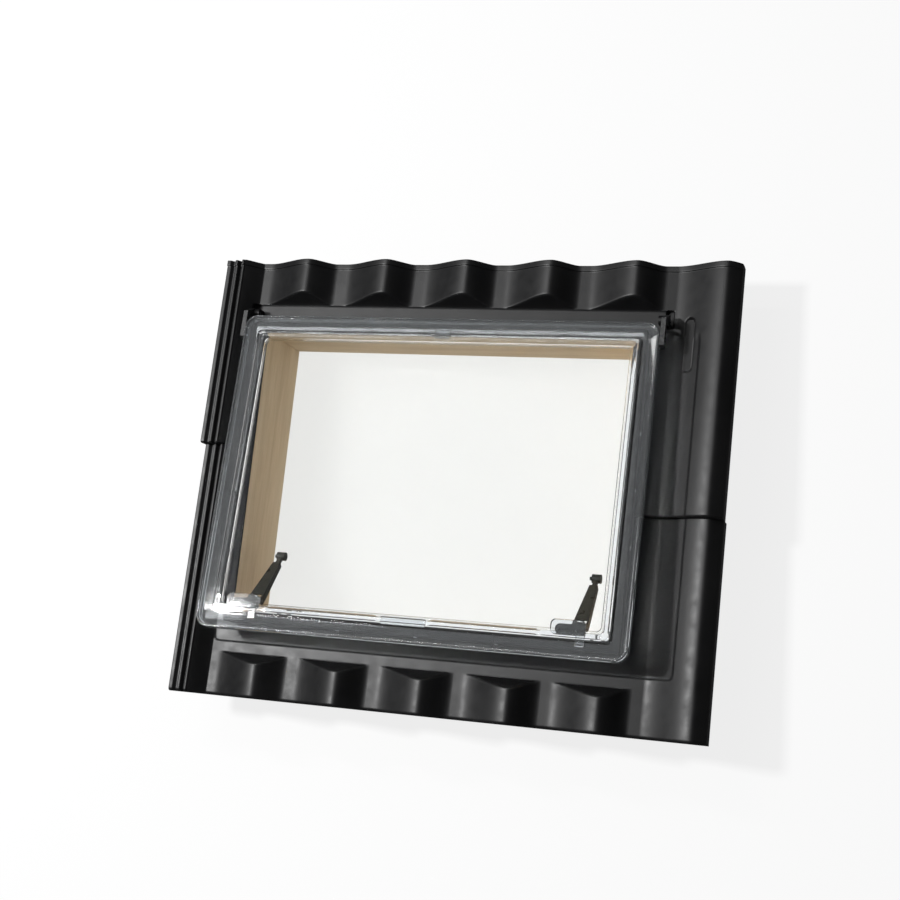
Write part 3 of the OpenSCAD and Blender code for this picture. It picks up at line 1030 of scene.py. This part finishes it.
    def upstand(self) -> bmesh.types.BMesh:
        """Makes the upstand's wall with its inturned rim.

        Returns:
            The mesh.
        """
        o = self.opening
        top, under, foot = o.rim_top, o.rim_top - 3.0, 96.0
        profile = [(3.0, under), (3.0, foot), (0.0, foot), (0.0, 118.0), (0.0, top - 2.0), (0.6, top - 0.6),
                   (2.0, top), (o.wall_out - 0.8, top), (o.wall_out, top - 0.8), (o.wall_out, under)]
        bm = bmesh.new()
        rings = []
        for inset, z in profile:
            ring = outline((o.x, o.y), o.upstand_w - 2 * inset, o.upstand_l - 2 * inset,
                           max(5.0 - inset, 0.5), (36, 28))
            rings.append([p + Vector((0, 0, z)) for p in ring])
        wrap_rings(bm, rings, closed=True)
        bmesh.ops.recalc_face_normals(bm, faces=bm.faces)
        return bm

    def build(self, finishes: Finishes) -> None:
        """Makes the pan and its upstand.

        Args:
            finishes: The object's materials.
        """
        sheet = new_object("pan_sheet", self.sheet(), [finishes.pan], 38)
        wall = sheet.modifiers.new("wall", "SOLIDIFY")
        wall.thickness = self.wall * MM
        wall.offset = -1
        seat(sheet, "frame", "pan_plastic", "tile_pan")
        seat(new_object("pan_upstand", self.upstand(), [finishes.pan]), "frame", "pan_plastic", "tile_pan")


# ---------------------------------------------------------------- simple solids


def block(low: tuple[float, float, float], high: tuple[float, float, float], rounding: float = 0.8,
          segments: int = 2) -> bmesh.types.BMesh:
    """A box with rounded edges.

    Args:
        low: Lowest corner.
        high: Highest corner.
        rounding: Edge radius.
        segments: Faces across an edge.

    Returns:
        The mesh.
    """
    bm = bmesh.new()
    size = Vector(high) - Vector(low)
    middle = (Vector(high) + Vector(low)) / 2
    bmesh.ops.create_cube(bm, size=1.0, matrix=Matrix.Translation(middle) @ Matrix.Diagonal((*size, 1)))
    bevel(bm, list(bm.edges), rounding, segments)
    keep_flat(bm, 60.0)
    return bm


def plate(points: Iterable[tuple[float, float]], low: float, high: float, corner: float,
          edge: float) -> bmesh.types.BMesh:
    """A flat plate from an outline, with rounded corners and edges.

    Args:
        points: The outline in X and Y, anticlockwise.
        low: Level of its underside.
        high: Level of its top.
        corner: Radius of the corners in plan.
        edge: Radius of the top and bottom edges.

    Returns:
        The mesh.
    """
    bm = bmesh.new()
    verts = [bm.verts.new((x, y, low)) for x, y in points]
    face = bm.faces.new(verts)
    made = bmesh.ops.extrude_face_region(bm, geom=[face])["geom"]
    raised = [g for g in made if isinstance(g, bmesh.types.BMVert)]
    bmesh.ops.translate(bm, vec=(0, 0, high - low), verts=raised)
    upright = [e for e in bm.edges if abs(e.verts[0].co.z - e.verts[1].co.z) > (high - low) / 2]
    bevel(bm, upright, corner, 6)
    bmesh.ops.recalc_face_normals(bm, faces=bm.faces)
    bevel(bm, sharp_edges(bm, 50), edge, 2)
    keep_flat(bm, 300.0)
    return bm


def keep_flat(bm: bmesh.types.BMesh, least: float, margin: float = 0.5) -> None:
    """Insets the big faces a little, so that rounded edges don't bend their shading.

    Args:
        bm: The mesh.
        least: Smallest area of a big face.
        margin: Width of the inset.
    """
    big = [f for f in bm.faces if f.calc_area() > least]
    bmesh.ops.inset_individual(bm, faces=big, thickness=margin, use_even_offset=True)


def add_to(target: bmesh.types.BMesh, part: bmesh.types.BMesh) -> None:
    """Copies a mesh into another and frees it.

    Args:
        target: The mesh that grows.
        part: The mesh to add, which is freed.
    """
    mesh = bpy.data.meshes.new("joining")
    part.to_mesh(mesh)
    part.free()
    target.from_mesh(mesh)
    bpy.data.meshes.remove(mesh)


@dataclass(frozen=True)
class Screw:
    """A pan-head screw with a round recess.

    Attributes:
        length: Length under the head.
        shank: Shank radius.
        head: Head radius.
        head_h: Head height.
        head_round: Rounding of the head's rim.
        recess_rim: Width of the flat round the recess.
        recess_h: Depth of the recess.
        point_h: Height of the tapered point.
        point_share: Size of the point's end, as a share of the shank.
    """

    length: float
    shank: float = 1.6
    head: float = 3.0
    head_h: float = 1.6
    head_round: float = 0.9
    recess_rim: float = 0.6
    recess_h: float = 0.9
    point_h: float = 1.4
    point_share: float = 0.3

    def lowest(self, bm: bmesh.types.BMesh) -> bmesh.types.BMFace:
        """The face on top of the head, which is the lowest one."""
        return min(bm.faces, key=lambda f: f.calc_center_median().z)

    def mesh(self, place: Matrix) -> bmesh.types.BMesh:
        """Makes the screw with its head below Z = 0 and its shank along +Z.

        Args:
            place: Where it goes.

        Returns:
            The mesh.
        """
        bm = bmesh.new()
        bmesh.ops.create_cone(bm, cap_ends=True, segments=28, radius1=self.head, radius2=self.head,
                              depth=self.head_h, matrix=Matrix.Translation((0, 0, -self.head_h / 2)))
        bevel(bm, list(self.lowest(bm).edges), self.head_round, 4)
        top = self.lowest(bm)
        bmesh.ops.inset_individual(bm, faces=[top], thickness=self.recess_rim, depth=0.0)
        bmesh.ops.inset_individual(bm, faces=[top], thickness=0.25, depth=-self.recess_h)
        shank = bmesh.new()
        straight = self.length - 1.5
        bmesh.ops.create_cone(shank, cap_ends=True, segments=20, radius1=self.shank, radius2=self.shank,
                              depth=straight, matrix=Matrix.Translation((0, 0, straight / 2)))
        tip = max(shank.faces, key=lambda f: f.calc_center_median().z)
        moved = bmesh.ops.extrude_face_region(shank, geom=[tip])["geom"]
        points = [g for g in moved if isinstance(g, bmesh.types.BMVert)]
        bmesh.ops.translate(shank, vec=(0, 0, self.point_h), verts=points)
        bmesh.ops.scale(shank, vec=(self.point_share, self.point_share, 1), verts=points)
        bmesh.ops.delete(shank, geom=[tip], context="FACES_ONLY")
        add_to(bm, shank)
        bmesh.ops.transform(bm, matrix=place, verts=bm.verts)
        return bm


def screws(name: str, screw: Screw, places: list[Matrix]) -> bmesh.types.BMesh:
    """Gathers like screws in one mesh.

    Args:
        name: Label for the log.
        screw: The screw.
        places: Where each one goes.

    Returns:
        The mesh.
    """
    bm = bmesh.new()
    for place in places:
        add_to(bm, screw.mesh(place))
    LOG.info("%s: %d screws", name, len(places))
    return bm


# ---------------------------------------------------------------- lining


@dataclass
class Lining:
    """The plywood box under the upstand, with its screws.

    Attributes:
        opening: The window opening.
        mark_z: Level of the screws through the upstand.
        screwed_h: Share of the boards' height that the corner screws are spread over.
    """

    opening: Opening
    mark_z: float = 128.0
    screwed_h: float = 0.78

    def boards(self) -> dict[Side, tuple[tuple[float, float, float], tuple[float, float, float]]]:
        """Low and high corner of each board; the end boards cover the side boards' ends.

        Returns:
            The two corners for each side.
        """
        o = self.opening
        left, right = o.x - o.clear_w / 2, o.x + o.clear_w / 2
        return {Side.FRONT: ((left - o.board, o.front - o.board, 0), (right + o.board, o.front, o.lining_h)),
                Side.REAR: ((left - o.board, o.rear, 0), (right + o.board, o.rear + o.board, o.lining_h)),
                Side.LEFT: ((left - o.board, o.front, 0), (left, o.rear, o.lining_h)),
                Side.RIGHT: ((right, o.front, 0), (right + o.board, o.rear, o.lining_h))}

    def corner_places(self) -> list[Matrix]:
        """Places of the screws through the end boards.

        Returns:
            A place and turn for each screw.
        """
        o = self.opening
        across, up = (o.clear_w + o.board) / 2, o.clear_l / 2 + o.board
        return [Matrix.Translation((o.x + sx * across, o.y + sy * up, share * self.screwed_h * o.lining_h))
                @ Matrix.Rotation(math.radians(90 * sy), 4, "X")
                for sx in (-1, 1) for sy in (-1, 1) for share in (0.2, 0.5, 0.8)]

    def upstand_places(self) -> list[Matrix]:
        """Places of the screws through the upstand.

        Returns:
            A place and turn for each screw.
        """
        o = self.opening
        marks = [(o.x + s * o.upstand_w / 2, o.y + f * o.upstand_l / 2, 0 if s < 0 else 180)
                 for s in (-1, 1) for f in (-0.35, 0, 0.35)]
        marks += [(o.x + f * o.upstand_w / 2, o.y + s * o.upstand_l / 2, 90 if s < 0 else -90)
                  for s in (-1, 1) for f in (-0.4, 0, 0.4)]
        return [Matrix.Translation((x, y, self.mark_z)) @ Matrix.Rotation(math.radians(turn), 4, "Z")
                @ Matrix.Rotation(math.radians(90), 4, "Y") for x, y, turn in marks]

    def build(self, finishes: Finishes) -> None:
        """Makes the boards and their screws.

        Args:
            finishes: The object's materials.
        """
        for side, (low, high) in self.boards().items():
            finish = finishes.ply_across if side in (Side.FRONT, Side.REAR) else finishes.ply_along
            board = new_object(f"board_{side.value}", block(low, high, 0.8), [finish])
            seat(board, "frame", "plywood", f"lining_{side.value}")
        o = self.opening
        corner = screws("lining", Screw(3 * o.board), self.corner_places())
        seat(new_object("corner_screws", corner, [finishes.steel]), "frame", "steel", "lining_screws")
        upstand = screws("upstand", Screw(o.board), self.upstand_places())
        seat(new_object("wall_screws", upstand, [finishes.steel]), "frame", "steel", "upstand_screws")


# ---------------------------------------------------------------- lid


@dataclass(frozen=True)
class Hinge:
    """The lid's hinge axis.

    Attributes:
        y: Place of the axis up the slope.
        z: Height of the axis.
        open_angle: How far the lid stands open when drawn, in degrees.
    """

    y: float
    z: float
    open_angle: float = 4.9

    def opened(self) -> Matrix:
        """Turns a piece that is laid out shut into its place on the drawn lid."""
        here = Matrix.Translation((0, self.y, self.z))
        return here @ Matrix.Rotation(math.radians(-self.open_angle), 4, "X") @ here.inverted()


@dataclass
class Lid:
    """The clear lid: outer sheet, inner pane, seal, pads and hinge straps.

    Attributes:
        opening: The window opening.
        hinge: The hinge.
        width: Size across the roof.
        length: Size up the slope.
        y: Its middle up the slope.
        radius: Corner radius.
        flange_top: Top of the flange, with the lid shut.
        flange_w: Width of the flange.
        skirt_foot: Lower edge of the skirt.
        pane_in: From the lid's edge to the pane inside its ridge.
        pads: X of the two pads.
        pad_size: Width, length and corner radius of a pad.
        pad_y: Place of the pads up the slope.
        bays: X of the gaps in the front ridge beside the pads.
        bay: Half the width of such a gap.
        lug: Half the width of the front lug.
        bridge: Half the width of the rear bridge.
    """

    opening: Opening
    hinge: Hinge
    width: float = 748.0
    length: float = 562.0
    y: float = -3.0
    radius: float = 22.0
    flange_top: float = 149.5
    flange_w: float = 27.0
    skirt_foot: float = 134.0
    pane_in: float = 42.0
    pads: tuple[float, float] = (-318.0, 249.0)
    pad_size: tuple[float, float, float] = (57.0, 24.0, 8.0)
    pad_y: float = -235.0
    bays: tuple[float, float] = (-318.0, 255.0)
    bay: float = 46.0
    lug: float = 39.0
    bridge: float = 14.0

    def ring(self, inset: float, z: float, counts: tuple[int, int] = (150, 112)) -> list[Vector]:
        """Places round the lid.

        Args:
            inset: Distance in from its edge.
            z: Level, with the lid shut.
            counts: Number of places along each kind of side.

        Returns:
            The places.
        """
        ring = outline((self.opening.x, self.y), self.width - 2 * inset, self.length - 2 * inset,
                       max(self.radius - inset * 0.5, 8.0), counts)
        return [p + Vector((0, 0, z)) for p in ring]

    def ridge_share(self, p: Vector) -> float:
        """Share of the ridge's height at a place, which ends at the bays, the lug and the bridge.

        Args:
            p: The place, with the lid shut.

        Returns:
            The share, from 0 to 1.
        """
        gaps = [(x, -1, self.bay) for x in self.bays]
        gaps += [(self.opening.x, -1, self.lug - 1), (self.opening.x, 1, self.bridge - 1)]
        share = 1.0
        for x, side, half in gaps:
            if (p.y - self.y) * side > self.length / 2 - 60:
                share = min(share, smooth((abs(p.x - x) - half) / 9.0))
        return share

    def shell(self, finishes: Finishes) -> bpy.types.Object:
        """Makes the outer sheet, from the middle of its underside to the middle of its top.

        Args:
            finishes: The object's materials.

        Returns:
            The sheet.
        """
        top = self.flange_top
        w, pane = self.flange_w, self.pane_in
        under = top - 3.0
        profile = [(pane + 5.0, top - 1.0), (pane + 4.0, top - 1.0), (pane + 4.0, top - 5.6),
                   (pane, top - 5.6), (pane, top - 1.0), (w + 7.2, top - 1.0), (w + 6.0, under),
                   (w, under + 0.9), (w - 1.0, under), (4.2, under), (3.0, under - 1.2),
                   (2.7, self.skirt_foot), (0.3, self.skirt_foot),
                   (0.0, self.skirt_foot + 0.4), (0.0, top - 0.5), (0.25, top + 1.0), (1.0, top + 1.75),
                   (2.0, top + 2.0), (3.0, top + 1.8), (3.9, top + 1.1), (4.6, top + 0.3), (5.6, top),
                   (w - 0.6, top), (w + 0.1, top - 0.8), (w + 1.9, top - 0.8), (w + 2.6, top),
                   (w + 5.6, top + 0.1), (w + 6.2, top + 2.4), (w + 7.2, top + 3.9), (w + 8.8, top + 4.5),
                   (w + 11.6, top + 4.5), (w + 13.4, top + 3.9), (w + 14.6, top + 2.7),
                   (pane + 0.6, top + 2.0), (pane + 3.0, top + 2.0)]
        bm = bmesh.new()
        rings = []
        for inset, z in profile:
            ring = self.ring(inset, z)
            if z > top + 2.0 and inset > w:
                for p in ring:
                    p.z = top + 2.0 + (z - top - 2.0) * self.ridge_share(p)
            rings.append(ring)
        wrap_rings(bm, rings, closed=False)
        for face in bm.faces:
            face.material_index = 0 if self.is_clear(face.calc_center_median()) else 1
        bmesh.ops.recalc_face_normals(bm, faces=bm.faces)
        bmesh.ops.transform(bm, matrix=self.hinge.opened(), verts=bm.verts)
        return new_object("lid_sheet", bm, [finishes.pane, finishes.edge], 30)

    def is_clear(self, p: Vector) -> bool:
        """Tells whether a place is as clear as the pane, as in the groove and inside the ridge.

        Args:
            p: The place, with the lid shut.

        Returns:
            True where it is.
        """
        low = (self.opening.x - self.width / 2, self.y - self.length / 2)
        high = (self.opening.x + self.width / 2, self.y + self.length / 2)
        inset = -box_distance(p.x, p.y, low, high, self.radius)
        return inset > self.pane_in - 1.4 or self.flange_w - 0.6 < inset < self.flange_w + 4.0

    def inner_pane(self) -> bmesh.types.BMesh:
        """Makes the inner pane, cut out round the pads.

        Returns:
            The mesh, with the lid shut.
        """
        left = self.opening.x - self.width / 2 + self.pane_in + 1
        right = self.opening.x + self.width / 2 - self.pane_in - 1
        front, rear = self.y - self.length / 2 + self.pane_in + 1, self.y + self.length / 2 - self.pane_in - 1
        half, notch = self.pad_size[0] / 2 + 0.3, self.pad_y + self.pad_size[1] / 2 + 0.3
        points = [(self.pads[0] + half, notch), (self.pads[0] + half, front), (self.pads[1] - half, front),
                  (self.pads[1] - half, notch), (self.pads[1] + half, notch), (self.pads[1] + half, front),
                  (right, front), (right, rear), (left, rear), (left, notch)]
        return plate(points, self.flange_top - 8.1, self.flange_top - 5.6, 8.0, 0.4)

    def seal(self) -> bmesh.types.BMesh:
        """Makes the rubber seal, a bulb with a root in the lid's channel.

        Returns:
            The mesh, with the lid shut.
        """
        bm = bmesh.new()
        low = self.opening.rim_top + 0.35
        profile = [(28.2, low + 3.8), (27.5, low + 2.4), (27.5, low + 1.2), (28.4, low + 0.3), (29.6, low),
                   (30.8, low + 0.3), (31.7, low + 1.2), (31.7, low + 2.4), (31.0, low + 3.8)]
        wrap_rings(bm, [self.ring(inset, z, (40, 30)) for inset, z in profile], closed=True)
        bmesh.ops.recalc_face_normals(bm, faces=bm.faces)
        return bm

    def pad_mesh(self, x: float) -> bmesh.types.BMesh:
        """Makes one pad with the stem that leads from it to the flange.

        Args:
            x: The pad's middle across the roof.

        Returns:
            The mesh, with the lid shut.
        """
        half_w, half_l, radius = self.pad_size[0] / 2, self.pad_size[1] / 2, self.pad_size[2]
        y, top = self.pad_y, self.flange_top
        corners = [(x + sx * half_w, y + sy * half_l) for sx, sy in ((-1, -1), (1, -1), (1, 1), (-1, 1))]
        bm = plate(corners, top - 8.1, top + 3.5, radius, 1.2)
        add_to(bm, block((x + 14, y - half_l - 18, top), (x + 29, y - half_l + 1, top + 3.3), 1.4, 3))
        return bm

    def bars(self) -> bmesh.types.BMesh:
        """Makes the lug at the front and the bridge at the rear.

        Returns:
            The mesh, with the lid shut.
        """
        x, half = self.opening.x, self.length / 2
        front, rear = self.y - half + self.flange_w, self.y + half - self.flange_w
        bm = block((x - self.lug, front + 2.2, self.flange_top - 0.5),
                   (x + self.lug, front + 15, self.flange_top + 5.4), 2.2, 4)
        add_to(bm, block((x - self.bridge, rear - 10, self.flange_top - 0.5),
                         (x + self.bridge, rear + 6, self.flange_top + 4.4), 1.8, 4))
        return bm

    def strap_places(self) -> list[Matrix]:
        """Places of the screws that hold the hinge straps.

        Returns:
            A place and turn for each screw.
        """
        return [Matrix.Translation((self.opening.x + s * (self.width / 2 + 8.0), self.hinge.y - 57 + y,
                                    self.flange_top - 8.25)) @ Matrix.Rotation(math.radians(-90 * s), 4, "Y")
                for s in (-1, 1) for y in (8, 22)]

    def on_lid(self, bm: bmesh.types.BMesh) -> bmesh.types.BMesh:
        """Turns a mesh from the shut layout onto the drawn lid."""
        bmesh.ops.transform(bm, matrix=self.hinge.opened(), verts=bm.verts)
        return bm

    def build(self, finishes: Finishes) -> None:
        """Makes the lid and its fittings.

        Args:
            finishes: The object's materials.
        """
        seat(self.shell(finishes), "lid", "clear_plastic", "lid_shell")
        for name, x in zip(("left", "right"), self.pads):
            pad = new_object(f"pad_{name}", self.on_lid(self.pad_mesh(x)), [finishes.edge])
            seat(pad, "lid", "clear_plastic", "lid_shell")
        bars = new_object("lid_bars", self.on_lid(self.bars()), [finishes.edge])
        seat(bars, "lid", "clear_plastic", "lid_shell")
        inner = new_object("lower_pane", self.on_lid(self.inner_pane()), [finishes.pane])
        seat(inner, "lid", "clear_plastic", "inner_pane")
        seal = new_object("seal_ring", self.on_lid(self.seal()), [finishes.rubber])
        seat(seal, "lid", "seal_rubber", "lid_seal")
        for name in ("left", "right"):
            node = f"hinge_strap_{name}"
            seat(softened_node(node, finishes.strap, 0.9), "lid", "black_plastic", node)
            node = f"hinge_block_{name}"
            seat(softened_node(node, finishes.pan, 0.9), "frame", "black_plastic", node)
            node = f"hinge_pin_{name}"
            seat(softened_node(node, finishes.steel, 0.5), "frame", "steel", node)
        holding = self.on_lid(screws("strap", Screw(10.5), self.strap_places()))
        seat(new_object("strap_screws", holding, [finishes.steel]), "lid", "steel", "hinge_screws")


# ---------------------------------------------------------------- stays


@dataclass
class Stays:
    """The two stays with their brackets on the lid and their keepers on the front board.

    Attributes:
        opening: The window opening.
        lid: The lid.
        arm_shift: From a pad's middle to its stay.
        plate_gap: Distance between a bracket's screws.
        keeper_z: Level of the middle of a keeper.
    """

    opening: Opening
    lid: Lid
    arm_shift: float = 16.0
    plate_gap: float = 30.0
    keeper_z: float = 11.0

    def bracket_places(self) -> list[Matrix]:
        """Places of the screws up through the brackets."""
        y, z = self.lid.pad_y - 5, self.lid.flange_top - 11.1
        return [Matrix.Translation((x + s * self.plate_gap / 2 - 2, y, z))
                for x in self.lid.pads for s in (-1, 1)]

    def keeper_places(self) -> list[Matrix]:
        """Places of the screws through the keepers into the front board."""
        return [Matrix.Translation((x + self.arm_shift, self.opening.front + 2.5, self.keeper_z + z))
                @ Matrix.Rotation(math.radians(90), 4, "X") for x in self.lid.pads for z in (-5, 5)]

    def build(self, finishes: Finishes) -> None:
        """Makes the stays, brackets, pins and keepers.

        Args:
            finishes: The object's materials.
        """
        for name in ("left", "right"):
            for node, body, slot, finish, edge in (
                    (f"stay_arm_{name}", f"stay_{name}", "black_plastic", finishes.fitting, 0.7),
                    (f"stay_bracket_{name}", "lid", "black_plastic", finishes.fitting, 0.6),
                    (f"stay_pin_{name}", "lid", "steel", finishes.steel, 0.4),
                    (f"keeper_{name}", "frame", "black_plastic", finishes.fitting, 0.6)):
                seat(softened_node(node, finish, edge), body, slot, node)
        held = self.lid.on_lid(screws("bracket", Screw(11.6), self.bracket_places()))
        seat(new_object("plate_screws", held, [finishes.steel]), "lid", "steel", "bracket_screws")
        fixed = screws("keeper", Screw(13.5), self.keeper_places())
        seat(new_object("catch_screws", fixed, [finishes.steel]), "frame", "steel", "keeper_screws")


# ---------------------------------------------------------------- studio


@dataclass(frozen=True)
class Lamp:
    """A soft lamp that looks at the object.

    Attributes:
        name: Lamp name.
        towards: Direction from the object to the lamp.
        distance: Distance in metres.
        size: Width and height in metres.
        power: Power in watts.
    """

    name: str
    towards: tuple[float, float, float]
    distance: float
    size: tuple[float, float]
    power: float

    def build(self, aim: Vector) -> bpy.types.Object:
        """Makes the lamp.

        Args:
            aim: Point that it looks at.

        Returns:
            The lamp.
        """
        data = bpy.data.lights.new(self.name, "AREA")
        data.shape = "RECTANGLE"
        data.size, data.size_y = self.size
        data.energy = self.power
        lamp = bpy.data.objects.new(self.name, data)
        back = Vector(self.towards).normalized()
        up = back.cross(Vector((1, 0, 0))).normalized()
        turn = Matrix((up.cross(back), up, back)).transposed().to_4x4()
        lamp.matrix_world = Matrix.Translation(aim + back * self.distance) @ turn
        bpy.context.scene.collection.objects.link(lamp)
        return lamp


@dataclass
class Studio:
    """Pale floor, soft light and the camera.

    Attributes:
        lamps: The lamps.
        place: Camera position in metres.
        right: Direction to the right of the picture.
        up: Direction to the top of the picture.
        lens: Focal length.
        sensor: Width of the sensor.
        floor_size: Size of the floor in metres.
        fill: Brightness of the surroundings.
        mirrored: Their brightness in reflections.
    """

    lamps: tuple[Lamp, ...] = (
        Lamp("key", (-0.546, 0.084, 0.833), 4.1, (0.42, 0.42), 150.0),
        Lamp("sky", (-0.32, 0.19, 0.93), 3.0, (1.9, 1.9), 1.2),
        Lamp("front_strip", (-0.4525, 0.135, 0.8815), 4.05, (0.75, 0.05), 4.5),
        Lamp("rear_strip", (-0.318, 0.486, 0.814), 3.17, (1.6, 0.16), 12.0),
    )
    place: tuple[float, float, float] = (0.8493, -0.3942, 2.5975)
    right: tuple[float, float, float] = (0.9463, 0.1025, -0.3067)
    up: tuple[float, float, float] = (-0.0433, 0.9801, 0.1937)
    lens: float = 62.47
    sensor: float = 36.0
    floor_size: float = 12.0
    fill: float = 0.17
    mirrored: float = 0.03

    def floor(self) -> bpy.types.Object:
        """Makes the floor, which glows a little so that shadows on it stay faint.

        Returns:
            The floor.
        """
        bm = bmesh.new()
        bmesh.ops.create_grid(bm, x_segments=2, y_segments=2, size=self.floor_size / 2 / MM)
        n = Nodes("pale_floor")
        n.set(Base_Color=(0.16, 0.16, 0.16, 1), Roughness=0.9, Specular_IOR_Level=0.1,
              Emission_Color=(1, 1, 1, 1), Emission_Strength=0.82)
        n.dim_reflections((0.03, 0.03, 0.03))
        piece = new_object("floor", bm, [n.material])
        return piece

    def surroundings(self) -> bpy.types.World:
        """Makes a soft fill that shiny surfaces hardly mirror.

        Returns:
            The world.
        """
        world = bpy.data.worlds.new("studio")
        world.use_nodes = True
        tree = world.node_tree
        fill = tree.nodes["Background"]
        fill.inputs["Color"].default_value = (0.96, 0.98, 1.0, 1)
        fill.inputs["Strength"].default_value = self.fill
        mirrored = tree.nodes.new("ShaderNodeBackground")
        mirrored.inputs["Strength"].default_value = self.mirrored
        mixer = tree.nodes.new("ShaderNodeMixShader")
        tree.links.new(mirror_rays(tree), mixer.inputs[0])
        tree.links.new(fill.outputs[0], mixer.inputs[1])
        tree.links.new(mirrored.outputs[0], mixer.inputs[2])
        tree.links.new(mixer.outputs[0], tree.nodes["World Output"].inputs["Surface"])
        return world

    def build(self) -> None:
        """Sets up the floor, the light, the camera and the picture's tones."""
        self.floor()
        for lamp in self.lamps:
            lamp.build(Vector((0, 0, 0.12)))
        scene = bpy.context.scene
        scene.world = self.surroundings()
        right, up = Vector(self.right).normalized(), Vector(self.up).normalized()
        back = right.cross(up).normalized()
        up = back.cross(right)
        data = bpy.data.cameras.new("camera")
        data.lens = self.lens
        data.sensor_width = self.sensor
        data.clip_end = 50.0
        camera = bpy.data.objects.new("camera", data)
        camera.matrix_world = Matrix.Translation(self.place) @ Matrix((right, up, back)).transposed().to_4x4()
        scene.collection.objects.link(camera)
        scene.camera = camera
        scene.view_settings.view_transform = "Standard"


def main() -> None:
    """Builds the skylight, then the studio round it."""
    logging.basicConfig(level=logging.INFO, format="%(name)s %(message)s")
    finishes = Finishes()
    opening = Opening()
    pivot = next(j for j in frame["joints"] if j["name"] == "lid_hinge")["pos_m"]
    hinge = Hinge(pivot[1] / MM, pivot[2] / MM)
    RoofPan(opening).build(finishes)
    Lining(opening).build(finishes)
    lid = Lid(opening, hinge)
    lid.build(finishes)
    Stays(opening, lid).build(finishes)
    Studio().build()


if __name__ == "__main__":
    main()
